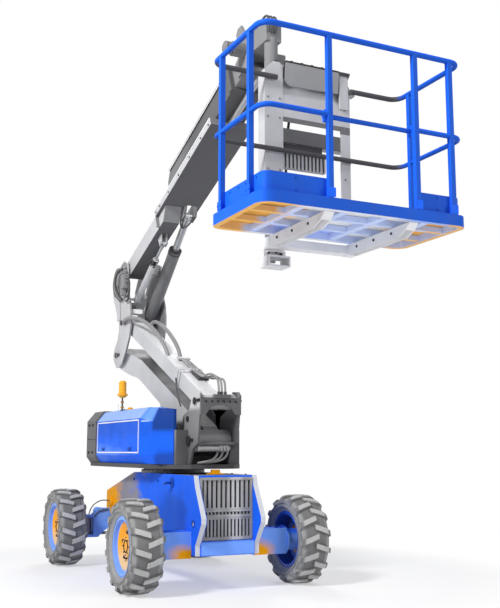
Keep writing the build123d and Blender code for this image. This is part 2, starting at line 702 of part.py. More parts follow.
# =====================================================================
# Upper boom
# =====================================================================
TRAY_U0 = 1070
TRAY_U1 = 2650
TRAY_LOW = 30
TRAY_TOP = 110
TRAY_HALF = 210
TUBE_HALF = 150
TUBE_TOP = 350
TUBE_U1 = 3030
with BuildPart() as boom_base:
    # rear beam, from the pin to the wide tray
    with BuildSketch(boom_side(12)):
        with BuildLine():
            Polyline(
                (-70, 60), (0, 88), (1100, 88), (1300, 30), (1180, -96), (60, -96), (-70, -60), (-92, 0), close=True,
            )
        make_face()
    extrude(amount=184)
    with Locations((BOOM_PIN[0], -87, BOOM_PIN[1])):
        Cylinder(92, 202, rotation=(90, 0, 0))
    # closed tray under the telescope tube
    with BuildSketch(boom_end(TRAY_U0)):
        with Locations((0, (TRAY_LOW + TRAY_TOP) / 2)):
            Rectangle(2 * TRAY_HALF, TRAY_TOP - TRAY_LOW)
    extrude(amount=TRAY_U1 - TRAY_U0)
    with BuildSketch(boom_end(1330)):
        with Locations((0, (TRAY_LOW + TRAY_TOP) / 2)):
            Rectangle(2 * TRAY_HALF - 16, TRAY_TOP - TRAY_LOW - 12)
    extrude(amount=TRAY_U1 - 1330 - 12, mode=Mode.SUBTRACT)
    with BuildSketch(boom_end(TRAY_U1 - 20)):
        with Locations((0, 70)):
            Circle(31)
    extrude(amount=30, mode=Mode.SUBTRACT)
    # rear bulkhead of the tray
    with BuildSketch(boom_end(TRAY_U0)):
        with Locations((-98.5, 0)):
            Rectangle(223, 200)
    extrude(amount=14)
    # lugs that take the lift rod's eye
    for y0 in (LIFT_Y - 72, LIFT_Y + 48):
        with BuildSketch(boom_side(y0 + 24)):
            with BuildLine():
                Polyline((1110, 40), (1345, 40), (1270, -56), (1160, -56), close=True)
            make_face()
        extrude(amount=24)
    for y0 in (LIFT_Y + 72, LIFT_Y - 80):
        with BuildSketch(boom_side(y0 + 8)):
            with Locations(LIFT_EYE):
                Circle(28)
        extrude(amount=8)
    # room between the lugs for the rod's eye
    with BuildSketch(boom_side(LIFT_Y)):
        with BuildLine():
            Polyline((1060, -100), (1345, -100), (1345, TRAY_TOP), (1060, TRAY_TOP), close=True)
        make_face()
    extrude(amount=48, both=True, mode=Mode.SUBTRACT)
    # lugs and pin bosses for the levelling rod
    for y0 in (LEVEL_Y - 35, LEVEL_Y + 23):
        with BuildSketch(boom_side(y0 + 12)):
            with BuildLine():
                Polyline((840, -80), (966, -80), (934, -208), (872, -208), close=True)
            make_face()
        extrude(amount=12)
    for y0 in (LEVEL_Y - 41, LEVEL_Y + 35):
        with BuildSketch(boom_side(y0 + 6)):
            with Locations(LEVEL_EYE):
                Circle(16)
        extrude(amount=6)
    with Locations((BOOM_PIN[0], 0, BOOM_PIN[1])):
        Cylinder(39, 500, rotation=(90, 0, 0), mode=Mode.SUBTRACT)
save(boom_base, "boom_base")

with BuildPart() as boom_outer:
    with BuildSketch(boom_side(0)):
        with BuildLine():
            Polyline(
                (1350, TRAY_TOP), (TUBE_U1, TRAY_TOP), (TUBE_U1, TUBE_TOP), (1480, TUBE_TOP), (1400, 270),
                close=True,
            )
        make_face()
    extrude(amount=TUBE_HALF, both=True)
    with BuildSketch(boom_end(1500)):
        with Locations((0, (TRAY_TOP + TUBE_TOP) / 2)):
            Rectangle(2 * TUBE_HALF - 18, TUBE_TOP - TRAY_TOP - 18)
    extrude(amount=TUBE_U1 - 1500 + 10, mode=Mode.SUBTRACT)
    # flange along the top edges
    with BuildSketch(boom_end(1480)):
        with Locations((0, TUBE_TOP + 5)):
            Rectangle(2 * TUBE_HALF + 28, 10)
    extrude(amount=TUBE_U1 - 1480)
    # collar at the mouth, with the slide ring that carries the inner boom
    with BuildSketch(boom_end(TUBE_U1 - 20)):
        with Locations((0, 238)):
            Rectangle(2 * TUBE_HALF + 34, 268)
        with Locations((0, 230)):
            Rectangle(251, 191, mode=Mode.SUBTRACT)
    extrude(amount=60)
save(boom_outer, "boom_outer")

TUBE_END = 3260
TIP_SIDE = (
    (3170, 150), (3170, 310), (3270, 330), (3285, 560), (3330, 590), (3400, 570), (3440, 420), (3440, 200),
    (3400, 84), (3310, 84), (3270, 140),
)
with BuildPart() as inner_boom:
    with BuildSketch(boom_end(1560)):
        with Locations((0, 230)):
            Rectangle(250, 190)
    extrude(amount=TUBE_END - 1560)
    with BuildSketch(boom_end(1580)):
        with Locations((0, 230)):
            Rectangle(234, 174)
    extrude(amount=TUBE_END - 1580 - 30, mode=Mode.SUBTRACT)
    for y0 in (-143, 125):
        with BuildSketch(boom_side(y0 + 18)):
            with BuildLine():
                Polyline(*TIP_SIDE, close=True)
            make_face()
        extrude(amount=18)
    # levelling drum on the right-hand side of the tip
    with BuildSketch(boom_side(-141)):
        with Locations(TIP_PIN):
            Circle(66)
    extrude(amount=120)
    with BuildSketch(boom_side(262)):
        with Locations(TIP_PIN):
            Circle(34)
    extrude(amount=524)
    # end of the telescope ram is held by a bar between the plates
    with BuildSketch(boom_side(143)):
        with Locations((3340, 108)):
            Rectangle(60, 36)
    extrude(amount=286)
save(inner_boom, "inner_boom")

with BuildPart() as ram:
    with BuildSketch(boom_end(1700)):
        with Locations((0, 70)):
            Circle(29)
    extrude(amount=3290 - 1700)
    with BuildSketch(boom_end(3290)):
        with Locations((0, 84)):
            Rectangle(58, 86)
    extrude(amount=20)
save(ram, "telescope_ram")

lift_eye = along_boom(*LIFT_EYE)
LIFT_SPAN = gap(LIFT_FOOT, lift_eye)
LIFT_BARREL = 1180
LIFT_ROD = 1300
with BuildPart() as lift_barrel:
    with BuildSketch(rod_plane(LIFT_FOOT, lift_eye, LIFT_Y)):
        Circle(68)
    extrude(amount=LIFT_BARREL)
    with BuildSketch(rod_plane(lift_eye, LIFT_FOOT, LIFT_Y)):
        Circle(38.5)
    extrude(amount=LIFT_SPAN - 60, mode=Mode.SUBTRACT)
    with Locations((LIFT_FOOT[0], LIFT_Y, LIFT_FOOT[1])):
        Cylinder(66, 140, rotation=(90, 0, 0))
        Cylinder(26.5, 300, rotation=(90, 0, 0), mode=Mode.SUBTRACT)
save(lift_barrel, "lift_barrel")

with BuildPart() as lift_rod:
    with BuildSketch(rod_plane(lift_eye, LIFT_FOOT, LIFT_Y)):
        Circle(38)
    extrude(amount=LIFT_ROD)
    with Locations((lift_eye[0], LIFT_Y, lift_eye[1])):
        Cylinder(40, 86, rotation=(90, 0, 0))
save(lift_rod, "lift_rod")

level_eye = along_boom(*LEVEL_EYE)
LEVEL_SPAN = gap(LEVEL_FOOT, level_eye)
LEVEL_BARREL = 700
LEVEL_ROD = 740
with BuildPart() as level_barrel:
    with BuildSketch(rod_plane(LEVEL_FOOT, level_eye, LEVEL_Y)):
        Circle(36)
    extrude(amount=LEVEL_BARREL)
    with BuildSketch(rod_plane(level_eye, LEVEL_FOOT, LEVEL_Y)):
        Circle(16)
    extrude(amount=LEVEL_SPAN - 50, mode=Mode.SUBTRACT)
    with Locations((LEVEL_FOOT[0], LEVEL_Y, LEVEL_FOOT[1])):
        Cylinder(34, 60, rotation=(90, 0, 0))
        Cylinder(15.5, 300, rotation=(90, 0, 0), mode=Mode.SUBTRACT)
save(level_barrel, "level_barrel")

with BuildPart() as level_rod:
    with BuildSketch(rod_plane(level_eye, LEVEL_FOOT, LEVEL_Y)):
        Circle(15)
    extrude(amount=LEVEL_ROD)
    with Locations((level_eye[0], LEVEL_Y, level_eye[1])):
        Cylinder(28, 38, rotation=(90, 0, 0))
save(level_rod, "level_rod")

# =====================================================================
# Cage and its mounting
# =====================================================================
tip = along_boom(*TIP_PIN)
HEAD_X1 = 2360
with BuildPart() as hanger:
    with BuildSketch(side(0)):
        with BuildLine():
            Polyline(
                (tip[0] - 70, tip[1] - 50), (tip[0] - 90, tip[1] + 20), (tip[0] - 20, tip[1] + 130),
                (2260, tip[1] + 160), (HEAD_X1, tip[1] + 128), (HEAD_X1, tip[1] - 55), (2200, tip[1] - 55), close=True,
            )
        make_face()
    extrude(amount=119, both=True)
    # the head over the mast is as wide as the mast's half of it
    with Locations((HEAD_X1 - 115, 79, tip[1] + 50)):
        Box(260, 110, 260, mode=Mode.SUBTRACT)
    with Locations((MAST_X, MAST_Y, (2760 + 4720) / 2)):
        Cylinder(MAST_R, 4720 - 2760)
    # rectangular tube across the foot of the mast, open at its ends
    with Locations((2370, MAST_Y, 2745)):
        Box(160, 200, 90)
        Box(180, 176, 66, mode=Mode.SUBTRACT)
    for y0 in (MAST_Y - 100, MAST_Y + 70):
        with Locations((MAST_X, y0 + 15, 2818)):
            Box(110, 30, 60)
    with Locations((MAST_X, MAST_Y, 2838)):
        Cylinder(96, 20)
    with Locations((tip[0], 0, tip[1])):
        Cylinder(35, 400, rotation=(90, 0, 0), mode=Mode.SUBTRACT)
save(hanger, "cage_hanger")

BEAM_YS = (-110, 640)
with BuildPart() as beams:
    with Locations((MAST_X, MAST_Y, 2890)):
        Cylinder(100, 80)
    with Locations((2410, (BEAM_YS[0] + BEAM_YS[1]) / 2, 2895)):
        Box(110, BEAM_YS[1] - BEAM_YS[0] + 90, 70)
    for y in BEAM_YS:
        with BuildSketch(side(y + 42)):
            with BuildLine():
                Polyline((2380, 2850), (3180, 2850), (3290, 2890), (3345, 2940), (2380, 2940), close=True)
            make_face()
        extrude(amount=84)
        with BuildSketch(side(y + 34)):
            with BuildLine():
                Polyline((2480, 2840), (3175, 2840), (3290, 2880), (3290, 2932), (2480, 2932), close=True)
            make_face()
        extrude(amount=68, mode=Mode.SUBTRACT)
    with Locations((MAST_X, MAST_Y, 2890)):
        Cylinder(MAST_R + 0.5, 200, mode=Mode.SUBTRACT)
save(beams, "cage_beams")

CAGE_L = CAGE_Y1 - CAGE_Y0
CAGE_W = CAGE_X1 - CAGE_X0
CAGE_CX = (CAGE_X0 + CAGE_X1) / 2
CAGE_CY = (CAGE_Y0 + CAGE_Y1) / 2
with BuildPart() as cage_floor:
    with BuildSketch(Plane.XY.offset(FLOOR_Z0)):
        with Locations((CAGE_CX, CAGE_CY)):
            RectangleRounded(CAGE_W, CAGE_L, CORNER_R)
            RectangleRounded(CAGE_W - 100, CAGE_L - 100, CORNER_R - 50, mode=Mode.SUBTRACT)
    extrude(amount=FLOOR_Z1 - FLOOR_Z0)
    # grid members that carry the open floor
    for k in range(1, 5):
        with Locations((CAGE_CX, CAGE_Y0 + k * CAGE_L / 5, FLOOR_Z0 + 32)):
            Box(CAGE_W - 20, 60, 44)
    for k in range(1, 3):
        with Locations((CAGE_X0 + k * CAGE_W / 3, CAGE_CY, FLOOR_Z0 + 32)):
            Box(46, CAGE_L - 20, 44)
    # toe boards all round, inside the posts
    with BuildSketch(Plane.XY.offset(FLOOR_Z1)):
        with Locations((CAGE_CX, CAGE_CY)):
            RectangleRounded(CAGE_W - 2 * TOE_IN, CAGE_L - 2 * TOE_IN, CORNER_R - TOE_IN)
            RectangleRounded(CAGE_W - 2 * TOE_IN - 14, CAGE_L - 2 * TOE_IN - 14, CORNER_R - TOE_IN - 7, mode=Mode.SUBTRACT)
    extrude(amount=TOE_Z - FLOOR_Z1)
    # the entry in the front long side has no toe board
    with Locations((CAGE_X1, (ENTRY_Y0 + ENTRY_Y1) / 2, (FLOOR_Z1 + TOE_Z) / 2 + 5)):
        Box(140, ENTRY_Y1 - ENTRY_Y0, TOE_Z - FLOOR_Z1 + 10, mode=Mode.SUBTRACT)
save(cage_floor, "cage_floor")

RX0 = CAGE_X0 + INSET
RX1 = CAGE_X1 - INSET
RY0 = CAGE_Y0 + INSET
RY1 = CAGE_Y1 - INSET
GAP_Y0 = -100
GAP_Y1 = 620
BEND = CORNER_R - INSET + 10
# posts as (x, y)
POSTS = (
    (2690, RY0), (3190, RY0), (RX1, ENTRY_Y0), (RX1, ENTRY_Y1), (RX1, RY1 - BEND - 20), (2690, RY1),
)
with BuildPart() as top_rail:
    # runs round from one side of the console gap to the other
    with BuildLine() as top_path:
        FilletPolyline(
            (RX0, GAP_Y0, TOP_Z), (RX0, RY0, TOP_Z), (RX1, RY0, TOP_Z), (RX1, RY1, TOP_Z), (RX0, RY1, TOP_Z),
            (RX0, GAP_Y1, TOP_Z), radius=BEND,
        )
    with BuildSketch(Plane(origin=(RX0, GAP_Y0, TOP_Z), z_dir=(0, -1, 0))):
        Circle(RAIL_R)
    sweep(path=top_path.line)

with BuildPart() as posts:
    for x, y in POSTS:
        with Locations((x, y, (FLOOR_Z1 + TOP_Z) / 2)):
            Box(POST, POST, TOP_Z - FLOOR_Z1)
    add(top_rail.part, mode=Mode.SUBTRACT)
save(posts, "cage_posts")

with BuildPart() as rails:
    # middle rail, in lengths between the posts, from one side of the entry to the other
    with BuildLine() as mid_path:
        FilletPolyline(
            (RX1, ENTRY_Y0, MID_Z), (RX1, RY0, MID_Z), (RX0, RY0, MID_Z), (RX0, RY1, MID_Z), (RX1, RY1, MID_Z),
            (RX1, ENTRY_Y1, MID_Z), radius=BEND,
        )
    with BuildSketch(Plane(origin=(RX1, ENTRY_Y0, MID_Z), z_dir=(0, -1, 0))):
        Circle(RAIL_R - 2)
    sweep(path=mid_path.line)
    for x, y in POSTS:
        with Locations((x, y, MID_Z)):
            Box(POST, POST, 60, mode=Mode.SUBTRACT)
    add(top_rail.part)
save(rails, "cage_rails")

with BuildPart() as entry_bar:
    with Locations((RX1 - 44, (ENTRY_Y0 + ENTRY_Y1) / 2, MID_Z)):
        Cylinder(19, ENTRY_Y1 - ENTRY_Y0 + 60, rotation=(90, 0, 0))
    for y in (ENTRY_Y0, ENTRY_Y1):
        with Locations((RX1 - 41.5, y, MID_Z)):
            Box(42, 44, 90)
save(entry_bar, "entry_bar")

CON_Y0 = -200
CON_Y1 = 625
CON_X1 = 2484
STAY = CAGE_X0 + TOE_IN - 0.3 - CON_X1
with BuildPart() as console_frame:
    # broad upright in front of the mast, and its return plate
    with BuildSketch(Plane(origin=(CON_X1 - 12, 0, 0), x_dir=(0, 1, 0), z_dir=(1, 0, 0))):
        with BuildLine():
            Polyline(
                (CON_Y0, 3040), (-30, 3040), (-30, 4420), (-60, 4440), (-120, 4440), (CON_Y0, 4360), close=True,
            )
        make_face()
    extrude(amount=12)
    with Locations((CON_X1 - 60, CON_Y0 + 6, 3700)):
        Box(120, 12, 1320)
    # right-hand upright
    with BuildSketch(side(CON_Y1)):
        with BuildLine():
            Polyline(
                (CON_X1, 3040), (CON_X1, 4330), (CON_X1 - 30, 4370), (CON_X1 - 90, 4370), (CON_X1 - 110, 3040),
                close=True,
            )
        make_face()
    extrude(amount=14)
    with Locations((CON_X1 - 6, CON_Y1 - 47, 3640)):
        Box(12, 94, 1200)
    # shelf under the controls
    with BuildSketch(side(CON_Y1)):
        with BuildLine():
            Polyline(
                (CON_X1, 3750), (CON_X1, 3870), (CON_X1 - 14, 3870), (CON_X1 - 14, 3764), (CON_X1 - 100, 3764),
                (CON_X1 - 100, 3750), close=True,
            )
        make_face()
    extrude(amount=CON_Y1 - CON_Y0)
    # light sheet between the uprights
    with Locations((CON_X1 - 7, (CON_Y0 + CON_Y1) / 2, 4045)):
        Box(10, CON_Y1 - CON_Y0 - 30, 230)
    # lower stay, against the toe board
    with Locations((CON_X1 - 20, (CON_Y0 + CON_Y1) / 2, 3070)):
        Box(40, CON_Y1 - CON_Y0, 60)
    with Locations((CON_X1 - 1 + (STAY + 1) / 2, (CON_Y0 + CON_Y1) / 2, 3070)):
        Box(STAY + 1, CON_Y1 - CON_Y0 - 40, 40)
    # pads that hold the rails, as (y, z, rail radius)
    for y, z, radius in (
        (GAP_Y0 - 45, TOP_Z, RAIL_R), (CON_Y1 - 20, MID_Z, RAIL_R - 2), (GAP_Y0 - 45, MID_Z, RAIL_R - 2),
    ):
        reach = RX0 - radius - 0.3 - CON_X1
        with Locations((CON_X1 - 1 + (reach + 1) / 2, y, z)):
            Box(reach + 1, 40, 60)
    # arm that reaches out to the end of the left top rail
    with Locations((CON_X1 - 30, CON_Y1 + 18.5, TOP_Z)):
        Box(60, 63, 60)
    with Locations((CON_X1 - 1 + (RX0 - RAIL_R - 0.3 - CON_X1 + 1) / 2, CON_Y1 + 25, TOP_Z)):
        Box(RX0 - RAIL_R - 0.3 - CON_X1 + 1, 50, 60)
save(console_frame, "console_frame")

PANEL = (
    (CON_X1 - 14, 4010), (CON_X1 - 14, 4170), (CON_X1 - 60, 4330), (CON_X1 + 40, 4440), (CON_X1 + 30, 4452),
    (CON_X1 - 110, 4520), (CON_X1 - 150, 4440), (CON_X1 - 120, 4010),
)
with BuildPart() as console_panel:
    with BuildSketch(side(CON_Y1 - 14)):
        with BuildLine():
            Polyline(*PANEL, close=True)
        make_face()
    extrude(amount=CON_Y1 - 14 + 30)
    # clear of the mast
    with Locations((2278, -40, 4300)):
        Box(200, 120, 700, mode=Mode.SUBTRACT)
    # ribbed cover under the shelf
    with Locations((CON_X1 - 46, 180, 3610)):
        Box(38, 420, 150)
    for k in range(12):
        with Locations((CON_X1 - 22, -19 + k * 36.2, 3610)):
            Box(12, 16, 150)
    with Locations((CON_X1 - 40, 180, 3715)):
        Box(24, 360, 70)
save(console_panel, "console_panel")
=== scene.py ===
"""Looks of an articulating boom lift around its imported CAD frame. Metres, +X forward, +Y left, +Z up."""
import json
import math
from contextlib import contextmanager

import bpy
import bmesh
from mathutils import Matrix, Vector


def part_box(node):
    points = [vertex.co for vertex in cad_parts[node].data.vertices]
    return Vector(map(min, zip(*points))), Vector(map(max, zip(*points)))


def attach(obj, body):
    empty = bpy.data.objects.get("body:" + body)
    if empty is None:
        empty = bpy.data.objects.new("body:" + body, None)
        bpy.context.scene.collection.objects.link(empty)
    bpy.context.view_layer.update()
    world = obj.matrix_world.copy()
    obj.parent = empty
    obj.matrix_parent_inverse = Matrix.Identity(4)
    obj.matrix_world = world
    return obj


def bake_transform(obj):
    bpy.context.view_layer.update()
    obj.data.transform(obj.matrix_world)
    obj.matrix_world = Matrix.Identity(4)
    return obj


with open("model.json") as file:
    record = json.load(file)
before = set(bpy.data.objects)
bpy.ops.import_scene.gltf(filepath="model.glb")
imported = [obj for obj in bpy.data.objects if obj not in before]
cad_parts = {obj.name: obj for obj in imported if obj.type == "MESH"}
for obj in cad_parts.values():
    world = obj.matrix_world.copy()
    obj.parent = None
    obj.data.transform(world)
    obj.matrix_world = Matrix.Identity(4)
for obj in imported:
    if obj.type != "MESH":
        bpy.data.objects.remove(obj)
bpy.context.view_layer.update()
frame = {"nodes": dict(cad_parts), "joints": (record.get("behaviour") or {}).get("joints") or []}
NODES = frame["nodes"]
scene = bpy.context.scene
scene.view_settings.view_transform = "Standard"

# ---- places, from the frame
PIN = {joint["name"]: joint["pos_m"] for joint in frame["joints"] if "pos_m" in joint}
STROKE = {joint["name"]: joint["axis"] for joint in frame["joints"] if joint["type"] == "slide"}


def middle(node):
    """The middle of a node's box, to the millimetre."""
    return [round((low + high) / 2, 3) for low, high in zip(*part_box(node))]


SIDES = (-1, 1)                 # right, then left
WHEELS = ("front_right", "front_left", "rear_right", "rear_left")
AXLE_X, WHEEL_Y, AXLE_Z = PIN["wheel_spin_front_left"]
TIP_X, _, TIP_Z = PIN["cage_level"]
MAST = PIN["cage_turn"][:2]
BEACON = middle("beacon")[:2]
COVER_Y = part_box("canopy_left")[1][1]
CAP_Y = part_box("counterweight")[1][1]
CAP_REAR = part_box("counterweight")[0][0]
DECK_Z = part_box("chassis_frame")[1][2]
SIDE_Y = 0.31                   # outer face of the chassis's side plates

# angles of the upper boom and of the two lower arms over the ground
BOOM_TILT = math.atan2(STROKE["telescope_extend"][2], STROKE["telescope_extend"][0])
ARM_TILT = math.atan2(
    PIN["elbow_level"][2] - PIN["lower_arm_raise"][2], PIN["lower_arm_raise"][0] - PIN["elbow_level"][0])

# ---- camera
EYE = Vector((8.949, -3.492, 1.214))
LOOK_TURN = math.radians(26.02)
LOOK_PITCH = math.radians(9.08)
look = Vector((
    -math.cos(LOOK_TURN) * math.cos(LOOK_PITCH),
    math.sin(LOOK_TURN) * math.cos(LOOK_PITCH),
    math.sin(LOOK_PITCH),
))
cam_data = bpy.data.cameras.new("camera")
cam_data.sensor_width = 36.0
cam_data.lens = 54.5
cam = bpy.data.objects.new("camera", cam_data)
cam.location = EYE
cam.rotation_euler = look.to_track_quat("-Z", "Y").to_euler()
scene.collection.objects.link(cam)
scene.camera = cam

# ---- colours
BLUE = (0.013, 0.135, 0.9)
BLUE_LIGHT = (0.19, 0.39, 1.0)
BLUE_DARK = (0.013, 0.075, 0.42)
# deep blue, used only for painted shade on the covers
BLUE_SHADE = (0.01, 0.05, 0.27)
# darker cage blue, used as painted shade on the cage's faces turned from the light
BLUE_CAGE_SHADE = (0.014, 0.1, 0.58)
BLUE_PALE = (0.34, 0.5, 1.0)
BLUE_WHITE = (0.6, 0.7, 1.0)
ORANGE = (0.93, 0.39, 0.004)
AMBER_PALE = (0.9, 0.5, 0.12)
BEIGE = (0.3, 0.27, 0.19)
WHITE = (0.85, 0.85, 0.86)
TRIM_WHITE = (0.6, 0.62, 0.67)
LIGHT = (0.56, 0.56, 0.57)
MID = (0.25, 0.25, 0.255)
# dark grey, used as painted shade
HATCHED_SHADE = (0.13, 0.13, 0.133)
DARK = (0.085, 0.085, 0.09)
BLACK = (0.03, 0.03, 0.032)


# ---- material graphs
class Graph:
    """The nodes of a material or a world, with short calls for those that the finishes share.

    Every call takes sockets or plain values."""

    def __init__(self, owner):
        owner.use_nodes = True
        self.nodes = owner.node_tree.nodes
        self.links = owner.node_tree.links

    def feed(self, socket, value):
        """Links a socket to another, or sets its value; a colour gets its alpha."""
        if isinstance(value, bpy.types.NodeSocket):
            self.links.new(value, socket)
        else:
            socket.default_value = (*value, 1.0) if socket.type == "RGBA" else value

    def node(self, kind, **inputs):
        """A new node with its named inputs fed; an underscore stands for a space."""
        made = self.nodes.new("ShaderNode" + kind)
        for name, value in inputs.items():
            self.feed(made.inputs[name.replace("_", " ")], value)
        return made

    def mix(self, share, a, b):
        """The colour a, or b where share is 1."""
        made = self.nodes.new("ShaderNodeMix")
        made.data_type = "RGBA"
        for index, value in ((0, share), (6, a), (7, b)):
            self.feed(made.inputs[index], value)
        return made.outputs[2]

    def ramp(self, value, low, high):
        """0 at low and beyond, 1 at high and beyond; low may be the larger."""
        return self.node("MapRange", Value=value, From_Min=low, From_Max=high).outputs["Result"]

    def maths(self, kind, a, b=0.0):
        made = self.nodes.new("ShaderNodeMath")
        made.operation = kind
        self.feed(made.inputs[0], a)
        self.feed(made.inputs[1], b)
        return made.outputs[0]

    def times(self, a, b):
        return self.maths("MULTIPLY", a, b)

    def plus(self, a, b):
        return self.maths("ADD", a, b)

    def minus(self, a, b):
        return self.maths("SUBTRACT", a, b)

    def patches(self, value, low, high, share):
        """A noise's high places, as a share for mix."""
        return self.times(self.ramp(value, low, high), share)

    def clear_rays(self):
        """1 where the camera sees a thing straight, in a reflection or through glass."""
        path = self.node("LightPath").outputs
        mirrored = self.maths("MAXIMUM", path["Is Glossy Ray"], path["Is Transmission Ray"])
        return self.maths("MAXIMUM", path["Is Camera Ray"], mirrored)

    def blend(self, share, first, second, target):
        """Feeds target with the first shader, or the second where share is 1."""
        made = self.node("MixShader")
        for socket, source in zip(made.inputs, (share, first.outputs[0], second.outputs[0])):
            self.links.new(source, socket)
        self.links.new(made.outputs[0], target)


class Finish(Graph):
    """A new material, with its shader's inputs and textures in the object's own metres."""

    def __init__(self, name):
        self.mat = bpy.data.materials.new(name)
        super().__init__(self.mat)
        self.shader = self.nodes["Principled BSDF"]
        self.coords = self.nodes.new("ShaderNodeTexCoord").outputs

    def set(self, **inputs):
        for name, value in inputs.items():
            self.feed(self.shader.inputs[name.replace("_", " ")], value)

    def noise(self, scale, detail=4.0, rough=0.55, stretch=None):
        place = self.coords["Object"]
        if stretch:
            place = self.node("Mapping", Vector=place, Scale=stretch).outputs["Vector"]
        return self.node("TexNoise", Scale=scale, Detail=detail, Roughness=rough, Vector=place).outputs["Fac"]

    def bump(self, height, strength, distance):
        made = self.node("Bump", Strength=strength, Distance=distance, Height=height)
        self.set(Normal=made.outputs["Normal"])

    def axes(self, source):
        made = self.nodes.new("ShaderNodeSeparateXYZ")
        self.links.new(self.coords[source], made.inputs[0])
        return made.outputs

    def masked(self, terms):
        """Product of soft steps. A term is (kind, axis, where it is 0, where it is 1).

        Kind "at" reads the place and "to" the way the face looks; "absat" and "absto" drop the sign."""
        place, way = self.axes("Object"), self.axes("Normal")
        cover = None
        for kind, axis, low, high in terms:
            source = (place if kind.endswith("at") else way)["XYZ".index(axis)]
            if kind.startswith("abs"):
                source = self.maths("ABSOLUTE", source)
            step = self.ramp(source, low, high)
            cover = step if cover is None else self.times(cover, step)
        return cover


def tinted(colour, factor):
    return tuple(min(1.0, c * factor) for c in colour)


def paint(name, colour, wear=DARK, layers=(), spec=0.07):
    """Sprayed paint with orange peel, faint streaks, dust and small chips down to the wear colour.

    A layer is (colour, strength, brush, terms): brush above 0 breaks its edge into soft strokes."""
    g = Finish(name)
    shade = g.mix(g.ramp(g.noise(2.2, 5.0), 0.3, 0.7), tinted(colour, 0.9), tinted(colour, 1.06))
    for tone, strength, brush, terms in layers:
        cover = g.masked(terms)
        if brush:
            strokes = g.noise(5.0, 3.0, 0.5, (1.0, 1.0, 2.6))
            push = g.times(g.minus(strokes, 0.5), brush)
            frayed = g.plus(cover, g.times(push, g.ramp(cover, 0.0, 0.1)))
            cover = g.ramp(frayed, 0.25, 0.75)
        shade = g.mix(g.times(cover, strength), shade, tone)
    streaks = g.noise(9.0, 4.0, 0.6, (1.0, 1.0, 0.12))
    shade = g.mix(g.patches(streaks, 0.52, 0.75, 0.1), shade, wear)
    chips = g.noise(38.0, 6.0, 0.75)
    dirt = g.noise(5.0, 5.0)
    g.set(
        Base_Color=g.mix(g.patches(chips, 0.7, 0.74, 0.4), shade, wear),
        Roughness=g.plus(g.patches(dirt, 0.35, 0.7, 0.16), 0.44),
        Specular_IOR_Level=spec,
    )
    g.bump(g.noise(320.0, 2.0), 0.12, 0.002)
    return g.mat


def metal(name, colour, rough):
    """Bare or chromed steel with fine grain."""
    g = Finish(name)
    grain = g.noise(60.0, 4.0, 0.6)
    g.set(
        Base_Color=g.mix(g.ramp(grain, 0.3, 0.7), tinted(colour, 0.85), colour),
        Roughness=g.plus(g.times(grain, 0.16), rough - 0.06),
        Metallic=0.75,
    )
    g.bump(grain, 0.06, 0.001)
    return g.mat


def hose_skin(name, colour, rough):
    """Rubber hose with a fine grain and a little dust."""
    g = Finish(name)
    grain = g.noise(160.0, 5.0, 0.65)
    dusty = g.noise(6.0, 4.0, 0.6)
    shade = g.mix(g.patches(dusty, 0.4, 0.75, 0.15), colour, (0.3, 0.29, 0.27))
    g.set(Base_Color=g.mix(g.patches(grain, 0.45, 0.7, 0.25), shade, tinted(colour, 0.6)), Roughness=rough)
    g.bump(grain, 0.25, 0.003)
    return g.mat


def wheel_place(g):
    """For all four wheels: height over the axis, distance from it, and how far out from the tyre's middle."""
    x, y, z = g.axes("Object")
    along = g.minus(g.maths("ABSOLUTE", x), AXLE_X)
    up = g.minus(z, AXLE_Z)
    radius = g.maths("SQRT", g.plus(g.times(along, along), g.times(up, up)))
    return up, radius, g.minus(g.maths("ABSOLUTE", y), WHEEL_Y)


def tyre_rubber(name):
    """Dusty tyre: mid grey walls, paler lugs worn at the crown, and painted shade between them."""
    g = Finish(name)
    _, radius, _ = wheel_place(g)
    grain = g.noise(60.0, 5.0, 0.65)
    dusty = g.noise(7.0, 4.0, 0.6)
    shade = g.mix(g.ramp(dusty, 0.4, 0.7), (0.28, 0.28, 0.28), (0.35, 0.35, 0.345))
    # painted shade low between the lugs
    shade = g.mix(g.ramp(radius, 0.362, 0.372), shade, (0.17, 0.17, 0.17))
    shade = g.mix(g.ramp(radius, 0.385, 0.398), shade, (0.46, 0.46, 0.45))
    g.set(Base_Color=g.mix(g.patches(grain, 0.5, 0.75, 0.3), shade, (0.08, 0.08, 0.08)), Roughness=0.8)
    g.bump(grain, 0.25, 0.003)
    return g.mat


def rim_paint(name):
    """Orange wheel disc, dusty low down, inside a blue barrel with painted light on its outer lip and painted
    shade further in.
    """
    g = Finish(name)
    up, radius, outward = wheel_place(g)
    dust = g.noise(7.0, 5.0, 0.65)
    low = g.plus(g.times(up, -1.0), g.times(dust, 0.12))
    disc = g.mix(g.patches(low, 0.06, 0.2, 0.75), ORANGE, (0.62, 0.52, 0.36))
    # painted light on the barrel's outer lip, painted shade on the barrel within it
    lip = g.mix(g.ramp(outward, 0.02, 0.04), BLUE_DARK, BLUE_LIGHT)
    shade = g.mix(g.ramp(radius, 0.206, 0.209), disc, lip)
    # painted shade on the inner side of the barrel
    shade = g.mix(g.ramp(outward, -0.03, -0.05), shade, BLUE_DARK)
    chips = g.noise(45.0, 5.0, 0.7)
    g.set(
        Base_Color=g.mix(g.patches(chips, 0.66, 0.7, 0.6), shade, (0.16, 0.1, 0.05)),
        Roughness=g.plus(g.times(dust, 0.25), 0.28),
    )
    g.bump(chips, 0.1, 0.002)
    return g.mat


def beacon_plastic(name):
    """Amber dome with cloudy depth, over a black foot."""
    g = Finish(name)
    glow = g.mix(g.noise(40.0, 2.0), (0.93, 0.39, 0.01), (0.97, 0.5, 0.03))
    foot = g.masked((("at", "Z", 1.773, 1.77),))
    g.set(Base_Color=g.mix(foot, glow, (0.04, 0.04, 0.04)), Roughness=0.3)
    return g.mat


# ---- finishes
def band(axis, low, high, edge=0.001):
    """Two mask terms for a stripe between two places."""
    return ("at", axis, low, low + edge), ("at", axis, high, high - edge)


